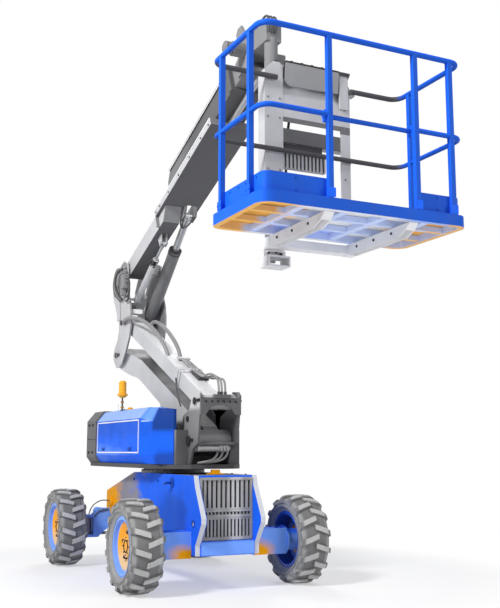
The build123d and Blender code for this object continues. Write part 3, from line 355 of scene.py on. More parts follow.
FLANKS = ("absto", "Y", 0.5, 0.7)
PLUMB_FLANKS = ("absto", "Y", 0.8, 0.95)
RIGHTWARD = ("to", "Y", -0.5, -0.8)
FORWARD = ("to", "X", 0.5, 0.8)
DOWNWARD = ("to", "Z", -0.5, -0.8)
DOWN_A_BIT = ("to", "Z", -0.3, -0.6)

blue = paint("blue_paint", BLUE)
blue_light = paint("blue_light_paint", BLUE_LIGHT, layers=(
    # faces turned down painted darker blue as painted shade
    (BLUE, 0.8, 0, (("to", "Z", -0.2, -0.5),)),
))
blue_dark = paint("blue_dark_paint", BLUE_DARK)
chassis_paint = paint("chassis_paint", BLUE, layers=(
    # shade above the front wheel, beige and orange washes to the rear
    (BLUE_DARK, 0.65, 0.8, (FLANKS, ("at", "X", 0.2, 0.7), ("at", "X", 1.25, 1.0), ("at", "Z", 0.95, 0.7))),
    (BEIGE, 0.85, 1.3, (FLANKS, ("at", "X", 0.12, -0.5), ("at", "Z", 0.45, 0.72))),
    (ORANGE, 1.0, 1.0, (FLANKS, ("at", "X", -0.55, -0.95), ("at", "Z", 0.97, 0.76))),
    # sill under the grille, pale trim beside it, grey deck
    (BLUE_LIGHT, 0.9, 0, (FORWARD, ("absat", "Y", 0.258, 0.254), ("at", "Z", 0.45, 0.44))),
    (TRIM_WHITE, 1.0, 0, (("to", "X", 0.4, 0.6), ("absat", "Y", 0.262, 0.266))),
    (MID, 1.0, 0, (("to", "Z", 0.9, 0.95), ("at", "Z", 0.97, 0.99))),
))
axle_paint = paint("axle_paint", BLUE_LIGHT, layers=(
    # faces turned up painted darker blue than the light blue sides: painted shade
    (BLUE, 0.85, 0, (("to", "Z", 0.4, 0.7),)),
    (ORANGE, 1.0, 0.9, (("absat", "Y", 0.6, 0.38), ("at", "Z", 0.46, 0.32), ("to", "X", 0.4, 0.6))),
))
floor_paint = paint("cage_floor_paint", BLUE_CAGE_SHADE, layers=(
    # outside of the right toe board in plain blue as painted light, over the darker cage blue as painted
    # shade; then the underside, paler inwards
    (BLUE, 1.0, 0, (("to", "X", 0.9, 0.6), ("to", "Z", -0.3, 0.0), ("at", "Y", -0.5, -0.6))),
    (BLUE_PALE, 0.9, 0.6, (DOWNWARD,)),
    (WHITE, 0.9, 1.0, (DOWNWARD, ("absat", "Y", 0.75, 0.3))),
    (WHITE, 1.0, 0, (FORWARD, ("at", "X", 2.7, 2.6))),
    # deck inside the toe boards
    (BLUE_WHITE, 1.0, 0, (
        ("to", "Z", 0.5, 0.3), ("at", "Z", 3.035, 3.032), *band("X", 2.535, 3.358),
        *band("Y", -0.652, 1.079))),
    # amber wash at both ends of the underside
    (AMBER_PALE, 1.0, 0.8, (DOWNWARD, ("at", "Y", -0.25, -0.5))),
    (AMBER_PALE, 0.9, 0.9, (DOWNWARD, ("at", "Y", 0.8, 1.0))),
    (AMBER_PALE, 0.9, 0.5, (
        FORWARD, ("at", "X", 3.3, 3.28), ("at", "Y", -0.35, -0.5), ("at", "Z", 3.035, 3.03))),
))
mesh_paint = paint("cage_mesh_paint", WHITE, wear=MID, layers=(
    (BLUE_PALE, 0.8, 1.2, (("absat", "Y", 0.55, 0.2), ("at", "X", 2.9, 2.6))),
    (AMBER_PALE, 1.0, 1.0, (("at", "Y", -0.05, -0.35),)),
    (AMBER_PALE, 1.0, 1.0, (("at", "Y", 0.62, 0.9),)),
))
rail_paint = paint("rail_paint", BLUE_CAGE_SHADE, layers=(
    # plain blue over the darker cage blue on faces not turned down and on the right side's outer faces:
    # painted light, with painted shade left below
    (BLUE, 0.9, 0, (("to", "Z", -0.2, 0.4),)),
    (BLUE, 0.9, 0, (RIGHTWARD, ("at", "Y", -0.5, -0.6))),
    # rear rails painted dark grey as painted shade
    (DARK, 1.0, 0, (("at", "X", 2.62, 2.55),)),
))
post_paint = paint("post_paint", BLUE_CAGE_SHADE, layers=(
    # plain blue on faces turned to the right as painted light, the darker cage blue elsewhere as painted
    # shade
    (BLUE, 0.9, 0, (RIGHTWARD,)),
))
cover_paint = paint("cover_paint", BLUE, layers=(
    # side panel, with painted shade above and painted light below
    (BLUE_DARK, 0.45, 0.8, (PLUMB_FLANKS, ("at", "Z", 1.28, 1.45))),
    (BLUE_LIGHT, 0.5, 0.9, (PLUMB_FLANKS, ("at", "Z", 1.34, 1.2), ("at", "X", 0.2, -0.9))),
    # sloped top and nose painted paler, as painted light on the faces turned up
    (BLUE_PALE, 0.9, 0, (("to", "Z", 0.3, 0.5), ("at", "X", 0.4, 0.32))),
    (BLUE_LIGHT, 0.8, 0, (("to", "Z", 0.25, 0.45), ("at", "X", 0.34, 0.42))),
    # painted shade in the corner towards the tower and low down beside it, and a painted highlight streak
    # along the edge above the panel
    (BLUE_SHADE, 1.0, 0, (("at", "X", 0.52, 0.56), ("at", "Z", 1.39, 1.43))),
    (BLUE_SHADE, 0.7, 0.5, (("at", "X", 0.5, 0.62), ("at", "Z", 1.28, 1.14))),
    (BLUE_PALE, 0.9, 0, (("at", "X", 0.365, 0.38), ("at", "X", 0.54, 0.46), *band("Z", 1.492, 1.515, 0.005))),
    # inner sides, rear and underside painted black as painted shade
    (BLACK, 1.0, 0, (("to", "Y", -0.3, -0.5), ("at", "Y", 0.1, 0.2))),
    (BLACK, 1.0, 0, (("to", "Y", 0.3, 0.5), ("at", "Y", -0.1, -0.2))),
    (BLACK, 1.0, 0, (("to", "X", -0.3, -0.5),)),
    (BLACK, 1.0, 0, (("to", "Z", -0.6, -0.8),)),
))
orange = paint("orange_paint", ORANGE, wear=(0.35, 0.16, 0.02))
light = paint("light_grey_paint", LIGHT, wear=MID)
mid_light = paint("console_grey_paint", (0.34, 0.34, 0.345), wear=MID)
pale = paint("pale_paint", WHITE, wear=MID)
mid = paint("mid_grey_paint", MID)
arm_paint = paint("arm_paint", LIGHT, wear=MID, spec=0.02, layers=(
    # painted shade on the top under the elbow, on the underside and on the foot inside the tower
    ((0.1, 0.1, 0.103), 1.0, 0, (("to", "Z", 0.4, 0.6), ("at", "X", -1.16, -1.1), ("at", "Z", 2.3, 2.24))),
    (MID, 0.7, 0, (DOWN_A_BIT,)),
    (MID, 0.9, 0, (("at", "X", 0.78, 0.84), ("at", "Z", 1.48, 1.44))),
))
knee_paint = paint("knee_paint", LIGHT, wear=MID, layers=(
    # painted shade on the upper plate, the inner plate and the inside of the bend
    (MID, 0.8, 0.6, (RIGHTWARD, ("at", "Z", 2.97, 3.04), ("at", "Y", -0.15, -0.2))),
    (DARK, 0.7, 0.3, (RIGHTWARD, ("at", "Y", 0.0, 0.1))),
    (DARK, 0.6, 0.3, (FORWARD, ("at", "Z", 2.95, 2.9))),
))
tie_paint = paint("tie_paint", LIGHT, wear=MID, layers=(
    # painted light on the top, painted shade on the underside
    (WHITE, 0.7, 0, (("to", "Z", 0.3, 0.6),)),
    (MID, 0.7, 0, (DOWN_A_BIT,)),
))
boom_paint = paint("boom_paint", MID, layers=(
    # painted light on the sides, painted shade on the underside
    (LIGHT, 1.0, 0, (("absto", "Y", 0.6, 0.8),)),
    (DARK, 0.75, 0.3, (("to", "Z", -0.4, -0.7),)),
))
tube_paint = paint("tube_paint", HATCHED_SHADE, layers=(
    # dark base as painted shade, with painted light on the sides towards the rear and a white top as painted
    # highlight
    (MID, 0.6, 0.8, (("absto", "Y", 0.6, 0.8), ("at", "X", 0.9, 0.3))),
    (WHITE, 0.9, 0, (("to", "Z", 0.5, 0.7),)),
))
CONSOLE_FRONT = ("at", "X", 2.466, 2.4665)
console_paint = paint("console_paint", LIGHT, wear=MID, layers=(
    # two slots across the front sheet, painted dark as painted shade
    (HATCHED_SHADE, 1.0, 0, (*band("Z", 3.746, 3.8715, 0.0005), *band("Y", -0.029, 0.527), CONSOLE_FRONT)),
    (HATCHED_SHADE, 0.9, 0, (*band("Z", 3.9, 3.97), ("at", "Y", -0.029, -0.028), CONSOLE_FRONT)),
))
panel_paint = paint("panel_paint", (0.3, 0.3, 0.305), wear=DARK, layers=(
    # painted shade on the top, a pale sheet below the control box, and a painted shadow in the gap
    (DARK, 1.0, 0, (("at", "Z", 4.415, 4.425),)),
    (LIGHT, 1.0, 0, (("at", "Z", 4.34, 4.33),)),
    (DARK, 1.0, 0, (("at", "Z", 3.76, 3.75), ("at", "Z", 3.68, 3.685))),
))
tower_paint = paint("tower_paint", (0.12, 0.12, 0.125), layers=(
    # painted light on the shelf's top and the right cheek's side, painted shade inside the arch, and a
    # painted highlight at the right end of the crossbar
    (MID, 0.75, 0, (("to", "Z", 0.5, 0.8), ("at", "Z", 1.38, 1.4))),
    (MID, 0.8, 0, (("to", "Y", -0.6, -0.8), ("at", "Z", 1.2, 1.42))),
    (DARK, 0.9, 0, (("at", "Y", 0.0, 0.1), ("at", "Z", 1.6, 1.5), ("to", "X", 0.6, 0.3))),
    (LIGHT, 0.95, 0, (("at", "Z", 1.58, 1.62), ("at", "Y", -0.17, -0.19), ("at", "X", 1.171, 1.17))),
))
grille_paint = paint("grille_paint", (0.32, 0.32, 0.325), layers=(
    # soft light down the middle
    (LIGHT, 0.8, 0.8, (("at", "Y", -0.03, 0.09), ("at", "Y", 0.2, 0.1), FORWARD)),
))
hanger_paint = paint("hanger_paint", MID, layers=(
    # pale foot under the cage
    (WHITE, 0.8, 0, (("at", "Z", 2.87, 2.86),)),
))
cap_paint = paint("cap_paint", (0.15, 0.15, 0.155), wear=BLACK)
dark = paint("dark_grey_paint", DARK, wear=BLACK)
black = paint("black_paint", BLACK, wear=(0.08, 0.08, 0.08))
barrel_paint = paint("barrel_paint", (0.17, 0.17, 0.175), wear=BLACK, spec=0.5)
iron = metal("bare_iron", (0.2, 0.2, 0.21), 0.5)
chrome = metal("chrome", (0.5, 0.505, 0.515), 0.3)
hose_rubber = hose_skin("hose_rubber", (0.05, 0.05, 0.052), 0.6)
hose_grey = hose_skin("hose_grey", (0.26, 0.26, 0.265), 0.55)
tread = tyre_rubber("tyre_rubber")
rim_finish = rim_paint("rim_paint")
amber = beacon_plastic("amber_plastic")

FINISH = {
    chassis_paint: ("chassis_frame",),
    rail_paint: ("cage_rails",),
    post_paint: ("cage_posts", "entry_bar"),
    grille_paint: ("grille",),
    blue_light: ("rear_axle",),
    axle_paint: ("front_axle",),
    floor_paint: ("cage_floor",),
    dark: ("engine_block", "turret_base", "deck_units", "riser_barrel"),
    barrel_paint: ("lift_barrel",),
    cap_paint: ("counterweight",),
    iron: ("slew_ring", "knuckle_right", "knuckle_left", "track_rod"),
    cover_paint: ("canopy_right", "canopy_left"),
    tower_paint: ("tower",),
    tube_paint: ("boom_outer",),
    boom_paint: ("boom_base",),
    arm_paint: ("lower_arm",),
    tie_paint: ("tie_arm",),
    mid: ("inner_boom",),
    hanger_paint: ("cage_hanger",),
    knee_paint: ("arm_knuckle",),
    light: ("level_barrel",),
    pale: ("cage_beams",),
    console_paint: ("console_frame",),
    chrome: ("telescope_ram", "lift_rod", "level_rod", "riser_rod"),
    panel_paint: ("console_panel",),
    amber: ("beacon",),
    rim_finish: ["rim_" + wheel for wheel in WHEELS],
    tread: ["tyre_" + wheel for wheel in WHEELS],
}
for material, names in FINISH.items():
    for name in names:
        NODES[name].data.materials.clear()
        NODES[name].data.materials.append(material)


# ---- mesh tools
def show(name, data):
    """A new object in the scene."""
    obj = bpy.data.objects.new(name, data)
    scene.collection.objects.link(obj)
    return obj


@contextmanager
def piece(name, material, body, smooth=False, bevel=0.0):
    """Opens an empty mesh to fill, and makes it a finished piece that rides on a body."""
    bm = bmesh.new()
    yield bm
    mesh = bpy.data.meshes.new(name)
    bmesh.ops.recalc_face_normals(bm, faces=bm.faces)
    bm.to_mesh(mesh)
    bm.free()
    mesh.materials.append(material)
    obj = show(name, mesh)
    if smooth:
        for poly in mesh.polygons:
            poly.use_smooth = True
    if bevel:
        mod = obj.modifiers.new("edges", "BEVEL")
        mod.width = bevel
        mod.segments = 2
        mod.limit_method = "ANGLE"
        mod.angle_limit = math.radians(35)
    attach(obj, body)


def add_box(bm, centre, size, turn=None):
    """A box with its centre, size and an optional turn matrix."""
    made = bmesh.ops.create_cube(bm, size=1.0)["verts"]
    bmesh.ops.scale(bm, vec=size, verts=made)
    if turn is not None:
        bmesh.ops.transform(bm, matrix=turn.to_4x4(), verts=made)
    bmesh.ops.translate(bm, vec=centre, verts=made)


def add_rod(bm, start, end, radius, segments=12):
    """A round bar between two points."""
    start, end = Vector(start), Vector(end)
    run = end - start
    made = bmesh.ops.create_cone(
        bm, cap_ends=True, segments=segments, radius1=radius, radius2=radius, depth=run.length,
    )["verts"]
    turn = run.to_track_quat("Z", "Y").to_matrix().to_4x4()
    bmesh.ops.transform(bm, matrix=Matrix.Translation((start + end) / 2) @ turn, verts=made)


def add_bolt(bm, place, axis, radius, height):
    """A hexagon head with its washer, standing on a face."""
    place, axis = Vector(place), Vector(axis).normalized()
    washer_top = place + axis * height * 0.25
    add_rod(bm, place - axis * 0.001, washer_top, radius * 1.35, 16)
    add_rod(bm, washer_top, place + axis * height, radius, 6)


def bolt_circle(bm, centre, axis, circle, count, size, first=0.0):
    """Bolts round a centre on a face that looks along Y or Z; first is the share of a step to start at."""
    for k in range(count):
        a = 2 * math.pi * (k + first) / count
        across, along = circle * math.cos(a), circle * math.sin(a)
        offset = Vector((across, 0, along) if axis[1] else (across, along, 0))
        add_bolt(bm, Vector(centre) + offset, axis, *size)


def hose(name, points, radius, material, body):
    """A rubber hose or pipe on one smooth line, fixed at both ends to its machine."""
    curve = bpy.data.curves.new(name, "CURVE")
    curve.dimensions = "3D"
    curve.resolution_u = 6
    curve.bevel_depth = radius
    curve.bevel_resolution = 2
    curve.use_fill_caps = True
    spline = curve.splines.new("NURBS")
    spline.points.add(len(points) - 1)
    for point, place in zip(spline.points, points):
        point.co = (*place, 1.0)
    spline.order_u = 3
    spline.use_endpoint_u = True
    curve.materials.append(material)
    obj = show(name, curve)
    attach(obj, body)
    return obj


def flexible(name, points, radius, material, near):
    """A hose from one body to the next, made into a plain mesh that rides on no body."""
    line = hose(name + "_line", points, radius, material, near)
    bpy.context.view_layer.update()
    shape = line.evaluated_get(bpy.context.evaluated_depsgraph_get())
    mesh = bpy.data.meshes.new_from_object(shape)
    bpy.data.objects.remove(line, do_unlink=True)
    obj = show(name, mesh)
    for poly in mesh.polygons:
        poly.use_smooth = True
    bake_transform(obj)


def turned(centre, axis):
    """A function that places (x, y, height) points about an axis through centre."""
    centre, turn = Vector(centre), Vector(axis).normalized().to_track_quat("Z", "Y").to_matrix()
    return lambda *point: centre + turn @ Vector(point)


def ring(bm, centre, axis, radius, thick, segments=28, sides=10):
    """A torus about an axis."""
    place = turned(centre, axis)
    rows = []
    for i in range(segments):
        a = 2 * math.pi * i / segments
        row = []
        for j in range(sides):
            b = 2 * math.pi * j / sides
            r = radius + thick * math.cos(b)
            row.append(bm.verts.new(place(r * math.cos(a), r * math.sin(a), thick * math.sin(b))))
        rows.append(row)
    for i in range(segments):
        for j in range(sides):
            k, m = (i + 1) % segments, (j + 1) % sides
            bm.faces.new((rows[i][j], rows[k][j], rows[k][m], rows[i][m]))


def dome(bm, centre, axis, profile, segments=24):
    """A turned form: profile is (radius, height) pairs along the axis from centre."""
    place = turned(centre, axis)
    angles = [2 * math.pi * i / segments for i in range(segments)]
    rows = []
    for radius, height in profile:
        if radius == 0:
            rows.append([bm.verts.new(place(0, 0, height))])
        else:
            rows.append([
                bm.verts.new(place(radius * math.cos(a), radius * math.sin(a), height)) for a in angles])
    for one, two in zip(rows, rows[1:]):
        for i in range(segments):
            k = (i + 1) % segments
            if len(one) == 1:
                bm.faces.new((one[0], two[i], two[k]))
            elif len(two) == 1:
                bm.faces.new((one[i], one[k], two[0]))
            else:
                bm.faces.new((one[i], one[k], two[k], two[i]))


def add_sheet(bm, outline, x, thick, lean=0.0, foot=0.0):
    """A flat sheet with its (y, z) outline and its front face at x; lean tips it forward above foot."""
    front, back = (
        [bm.verts.new((face + (z - foot) * lean, y, z)) for y, z in outline] for face in (x, x - thick))
    bm.faces.new(front)
    bm.faces.new(back[::-1])
    for k in range(len(outline)):
        m = (k + 1) % len(outline)
        bm.faces.new((front[k], back[k], back[m], front[m]))


def on_boom(u, y, w):
    """The place u along the upper boom from its pin and w above its line."""
    c, s = math.cos(BOOM_TILT), math.sin(BOOM_TILT)
    pin = PIN["upper_boom_raise"]
    return (pin[0] + c * u - s * w, y, pin[2] + s * u + c * w)


def on_tie(u, y, w):
    """The place u along the tie arm from its foot and w above its line."""
    c, s = math.cos(ARM_TILT), math.sin(ARM_TILT)
    pin = PIN["tie_arm_foot"]
    return (pin[0] - c * u + s * w, y, pin[2] + s * u + c * w)


BOOM_TURN = Matrix.Rotation(-BOOM_TILT, 3, "Y")
ARM_TURN = Matrix.Rotation(ARM_TILT, 3, "Y")
BOOM_UP = (-math.sin(BOOM_TILT), 0, math.cos(BOOM_TILT))
ARM_UP = (math.sin(ARM_TILT), 0, math.cos(ARM_TILT))

# ---- wheels
DISC_Y = WHEEL_Y + 0.046        # face of the wheel disc, under its nuts
HUB_FACE_Y = WHEEL_Y + 0.0775
NUT = (0.0165, 0.028)           # radius and height of a wheel nut
for wheel in WHEELS:
    x, y, _ = PIN["wheel_spin_" + wheel]
    body, hand = "wheel_" + wheel, 1 if y > 0 else -1
    outward = (0, hand, 0)
    with piece(body + "_nuts", black, body) as bm:
        bolt_circle(bm, (x, hand * DISC_Y, AXLE_Z), outward, circle=0.118, count=5, size=NUT, first=0.25)
        ring(bm, (x, hand * (HUB_FACE_Y + 0.0015), AXLE_Z), (0, 1, 0), 0.05, 0.006, 36, 8)
        bolt_circle(bm, (x, hand * HUB_FACE_Y, AXLE_Z), outward, circle=0.074, count=8, size=(0.0055, 0.007))
    # moulded rings on both walls of the tyre
    with piece(body + "_wall_ribs", tread, body, smooth=True) as bm:
        for radius, half_width in ((0.30, 0.1475), (0.335, 0.1455)):
            for side in (1, -1):
                ring(bm, (x, hand * (WHEEL_Y + side * half_width), AXLE_Z), (0, 1, 0), radius, 0.004, 56, 6)
    with piece(body + "_valve", hose_rubber, body, smooth=True) as bm:
        add_rod(bm, (x + 0.2, hand * 0.89, 0.47), (x + 0.192, hand * 0.915, 0.463), 0.005, 8)

# ---- chassis
SLOT_SHADE_X, GRILLE_X = 1.268, 1.305     # painted-shade sheet behind the slots, front of the grille
# black sheets behind the grille's slots: painted shade seen through the openings
with piece("radiator_core", black, "chassis") as bm:
    for z, height in ((0.83, 0.29), (0.56, 0.22)):
        add_box(bm, (SLOT_SHADE_X, 0, z), (0.004, 0.5, height))
with piece("grille_trim", mid, "chassis") as bm:
    for z in (0.695, 0.965):
        add_box(bm, (GRILLE_X + 0.002, 0, z), (0.008, 0.5, 0.008))
    for y in (-0.243, 0.243):
        for z in (0.47, 0.66, 0.7, 0.95):
            add_bolt(bm, (GRILLE_X, y, z), (1, 0, 0), 0.008, 0.008)

PLATE_BOLTS = ((0.9, 0.5), (0.9, 0.36), (0.4, 0.36), (-0.1, 0.36), (-0.6, 0.4), (0.4, 0.93), (-0.3, 0.93))
AXLE_PAD_BOLTS = ((1.06, 0.49), (1.06, 0.31), (1.24, 0.49), (1.24, 0.31))
for hand in SIDES:
    outward, side_y = (0, hand, 0), hand * SIDE_Y
    # eye at the rear shoulder
    with piece(f"rear_eye_{hand}", orange, "chassis") as bm:
        dome(bm, (-1.06, side_y, 0.67), outward, (
            (0.052, 0.0), (0.052, 0.012), (0.036, 0.018), (0.036, 0.006), (0.0, 0.006)))
        add_bolt(bm, (-1.06, hand * 0.316, 0.67), outward, 0.018, 0.02)
    # turn latch near the deck: its plate, stem and grip
    with piece(f"turn_latch_{hand}", blue_dark, "chassis") as bm:
        add_rod(bm, (0.78, side_y, 0.925), (0.78, hand * 0.318, 0.925), 0.048, 24)
        add_rod(bm, (0.78, hand * 0.318, 0.925), (0.78, hand * 0.375, 0.92), 0.012)
        add_rod(bm, (0.745, hand * 0.375, 0.915), (0.815, hand * 0.375, 0.925), 0.013)
    with piece(f"side_bolts_{hand}", blue_dark, "chassis") as bm:
        for x, z in PLATE_BOLTS:
            add_bolt(bm, (x, side_y, z), outward, 0.011, 0.01)
        for x, z in AXLE_PAD_BOLTS:
            add_bolt(bm, (x, side_y, z), outward, 0.012, 0.012)
    with piece(f"tie_down_rim_{hand}", blue_dark, "chassis", smooth=True) as bm:
        ring(bm, (1.3, hand * 0.3115, 0.585), (0, 1, 0), 0.028, 0.006, 24, 8)
    # brake hose to the rear wheel, and the wavy steering hose behind it
    hose(f"rear_hose_{hand}", [
        (-1.06, hand * 0.33, 0.67), (-1.1, hand * 0.37, 0.685), (-1.13, hand * 0.45, 0.665),
        (-1.14, hand * 0.52, 0.6), (-1.14, hand * 0.54, 0.53),
    ], 0.006, hose_rubber, "chassis")
    hose(f"axle_pipe_{hand}", [
        (-1.095, hand * 0.33, 0.565), (-1.094, hand * 0.35, 0.59), (-1.093, hand * 0.37, 0.56),
        (-1.092, hand * 0.39, 0.585), (-1.092, hand * 0.41, 0.555), (-1.092, hand * 0.43, 0.57),
        (-1.092, hand * 0.46, 0.54), (-1.095, hand * 0.49, 0.5),
    ], 0.0065, hose_rubber, "chassis")
    # bolts above and below the front axle's beam end, and round its drive
    with piece(f"drive_bolts_{hand}", blue_dark, "chassis") as bm:
        for z, up in ((0.515, 1), (0.285, -1)):
            for dx in (-0.063, 0.063):
                add_bolt(bm, (AXLE_X + dx, hand * 0.55, z), (0, 0, up), 0.012, 0.012)
        bolt_circle(bm, (AXLE_X, hand * 0.658, AXLE_Z), outward, circle=0.112, count=10, size=(0.009, 0.01))
with piece("ring_bolts", iron, "chassis") as bm:
    bolt_circle(bm, (0, 0, 1.0235), (0, 0, 1), circle=0.312, count=28, size=(0.009, 0.011))
with piece("deck_lamp", orange, "chassis", bevel=0.004) as bm:
    add_box(bm, (1.0, 0.03, DECK_Z + 0.006), (0.06, 0.17, 0.01))
    add_box(bm, (1.0, 0.03, DECK_Z + 0.027), (0.055, 0.075, 0.034))
with piece("deck_bolts", black, "chassis") as bm:
    for hand in SIDES:
        for x in (0.55, 0.85, 1.15):
            add_bolt(bm, (x, hand * 0.27, DECK_Z), (0, 0, 1), 0.01, 0.008)
# steering cylinder, its rams and the joint nuts on the track rod
ROD_X, ROD_Z = -1.31, 0.31
with piece("track_rod_sleeves", iron, "steer_rod") as bm:
    for hand in SIDES:
        add_rod(bm, (ROD_X, hand * 0.50, ROD_Z), (ROD_X, hand * 0.40, ROD_Z), 0.024, 16)
        add_bolt(bm, (ROD_X, hand * 0.56, ROD_Z - 0.018), (0, 0, -1), 0.013, 0.012)
    add_rod(bm, (ROD_X, -0.17, ROD_Z), (ROD_X, 0.17, ROD_Z), 0.03, 20)

# ---- turret
PANEL_X, PANEL_LENGTH = -0.36, 1.36     # side panel: its middle and length
PANEL_FOOT, PANEL_HEAD = 1.2, 1.515
for hand, body in zip(SIDES, ("cover_right", "cover_left")):
    # raised frame round the side panel, painted pale as a highlight along its edges
    with piece(f"{body}_panel_edge", pale, body) as bm:
        edge_y, upright = hand * (COVER_Y + 0.0025), PANEL_HEAD - PANEL_FOOT + 0.012
        for z in (PANEL_HEAD, PANEL_FOOT):
            add_box(bm, (PANEL_X, edge_y, z), (PANEL_LENGTH, 0.006, 0.012))
        for half in (-0.5, 0.5):
            x = PANEL_X + half * PANEL_LENGTH
            add_box(bm, (x, edge_y, (PANEL_FOOT + PANEL_HEAD) / 2), (0.012, 0.006, upright))
    # latches with their grips, and screws at the panel's corners
    with piece(f"{body}_latches", blue_dark, body, bevel=0.002) as bm:
        for x in (-0.82, 0.06):
            add_box(bm, (x, hand * 0.4935, 1.235), (0.09, 0.008, 0.034))
            add_box(bm, (x, hand * 0.4985, 1.235), (0.055, 0.006, 0.016))
        for x in (-1.0, 0.28):
            for z in (1.225, 1.49):
                add_bolt(bm, (x, hand * COVER_Y, z), (0, hand, 0), 0.007, 0.006)
with piece("amber_bump", orange, "cover_right", smooth=True) as bm:
    dome(bm, (-0.3, -0.372, 1.64), (0, 0, 1), (
        (0.034, 0.0), (0.034, 0.006), (0.026, 0.018), (0.012, 0.026), (0.0, 0.028)))
with piece("beacon_ribs", orange, "cover_right", smooth=True) as bm:
    for z in (1.825, 1.85, 1.875, 1.9, 1.925):
        ring(bm, (*BEACON, z), (0, 0, 1), 0.0395, 0.0018, 32, 6)
    dome(bm, (*BEACON, 1.8095), (0, 0, 1), ((0.058, 0.0), (0.058, 0.004), (0.044, 0.006), (0.0, 0.006)))
with piece("beacon_beads", orange, "cover_right", smooth=True) as bm:
    for z in (1.663, 1.719):
        dome(bm, (*BEACON, z), (0, 0, 1), (
            (0.0, 0.0), (0.012, 0.0), (0.0185, 0.009), (0.012, 0.018), (0.0, 0.018)))
hose("beacon_bracket", [
    (-0.66, -0.385, 1.641), (-0.66, -0.388, 1.69), (-0.655, -0.392, 1.712), (-0.62, -0.395, 1.716),
    (-0.55, -0.398, 1.706), (-0.49, -0.4, 1.704),
], 0.005, pale, "cover_right")
hose("beacon_lead", [
    (-0.48, -0.375, 1.652), (-0.55, -0.36, 1.646), (-0.75, -0.35, 1.646), (-1.0, -0.34, 1.646),
    (-1.05, -0.3, 1.645),
], 0.004, hose_rubber, "cover_right")

# counterweight: a seam and bolts on each side, and bolts at its rear corners
with piece("cap_fittings", black, "turret") as bm:
    for hand in SIDES:
        add_box(bm, (-1.26, hand * (CAP_Y + 0.0005), 1.345), (0.3, 0.004, 0.006))
        for z in (1.2, 1.5):
            for x in (-1.2, -1.34):
                add_bolt(bm, (x, hand * CAP_Y, z), (0, hand, 0), 0.012, 0.01)
        for z in (1.25, 1.48):
            add_bolt(bm, (CAP_REAR, hand * 0.4, z), (-1, 0, 0), 0.014, 0.012)

# tower: keepers of the arm pins, bosses beside the arch, bolts along the crossbar
with piece("tower_keepers", black, "turret") as bm:
    for hand in SIDES:
        outward = (0, hand, 0)
        for (x, _, z), r in ((PIN["lower_arm_raise"], 0.046), (PIN["tie_arm_foot"], 0.034)):
            dome(bm, (x, hand * 0.217, z), outward, ((r, 0.0), (r, 0.008), (r * 0.7, 0.012), (0.0, 0.012)))
            add_box(bm, (x + 0.06, hand * 0.208, z + 0.005), (0.07, 0.008, 0.03))
            add_bolt(bm, (x + 0.085, hand * 0.212, z + 0.005), outward, 0.008, 0.008)
        dome(bm, (0.89, hand * 0.205, 1.512), outward, ((0.026, 0.0), (0.026, 0.01), (0.0, 0.012)))
    for k in range(6):
        add_bolt(bm, (1.188, -0.15 + k * 0.06, 1.665), (1, 0, 0), 0.008, 0.008)
# pipe across the foot of the arch, with three nuts and three hoses
PIPE_X, PIPE_Z = 1.1, 1.235
with piece("tower_pipe", hose_grey, "turret") as bm:
    add_rod(bm, (PIPE_X, -0.18, PIPE_Z), (PIPE_X, 0.02, PIPE_Z), 0.021, 20)
    for y in (0.03, 0.062, 0.09):
        add_rod(bm, (PIPE_X, y, PIPE_Z), (PIPE_X, y + 0.018, PIPE_Z), 0.03, 6)
    add_rod(bm, (PIPE_X, 0.0, PIPE_Z), (PIPE_X, 0.13, PIPE_Z), 0.016)
for k, (y, end_y) in enumerate(((-0.05, -0.12), (0.0, -0.085), (0.05, -0.05))):
    hose(f"tower_hose_{k}", [
        (1.06, y + 0.08, 1.225), (1.07, y + 0.07, 1.18), (1.06, y + 0.02, 1.13), (1.03, end_y, 1.11),
        (0.97, end_y - 0.01, 1.105),
    ], 0.011, hose_grey, "turret")

# ---- arms and knuckle
flexible("arm_hose_inner", [
    (-1.0, -0.225, 2.64), (-0.99, -0.245, 2.665), (-0.86, -0.25, 2.68), (-0.7, -0.24, 2.675),
    (-0.5, -0.225, 2.64), (-0.28, -0.205, 2.56), (-0.06, -0.18, 2.44), (0.07, -0.15, 2.31),
    (0.135, -0.13, 2.21), (0.15, -0.13, 2.175),
], 0.021, hose_grey, "elbow")
flexible("arm_hose_outer", [
    (-0.72, -0.02, 2.6), (-0.6, -0.02, 2.64), (-0.42, -0.02, 2.59), (-0.2, -0.02, 2.5), (0.0, -0.02, 2.38),
    (0.14, -0.02, 2.27), (0.2, -0.02, 2.19), (0.21, -0.02, 2.16),
], 0.021, hose_grey, "elbow")
# three hoses over the tie arm's back, down into fittings on the tower's crossbar
FITTING_X, FITTING_Z = 1.19, 1.728
for k, y in enumerate((-0.035, -0.005, 0.03)):
    end_y = y + 0.012
    flexible(f"tie_hose_{k}", [
        on_tie(0.95, y * 0.6 - 0.02, 0.1), on_tie(0.8, y - 0.02, 0.112), on_tie(0.5, y - 0.02, 0.114),
        on_tie(0.28, y - 0.015, 0.13), (0.93, y, 1.935 - 0.02 * k), (1.07, y + 0.005, 1.93 - 0.02 * k),
        (1.17, y + 0.01, 1.87), (FITTING_X, end_y, 1.79), (FITTING_X, end_y, FITTING_Z),
    ], 0.0105, hose_grey, "tie_link")
    with piece(f"tie_fitting_{k}", dark, "turret") as bm:
        add_rod(bm, (FITTING_X, end_y, FITTING_Z), (FITTING_X, end_y, FITTING_Z + 0.027), 0.0155, 6)
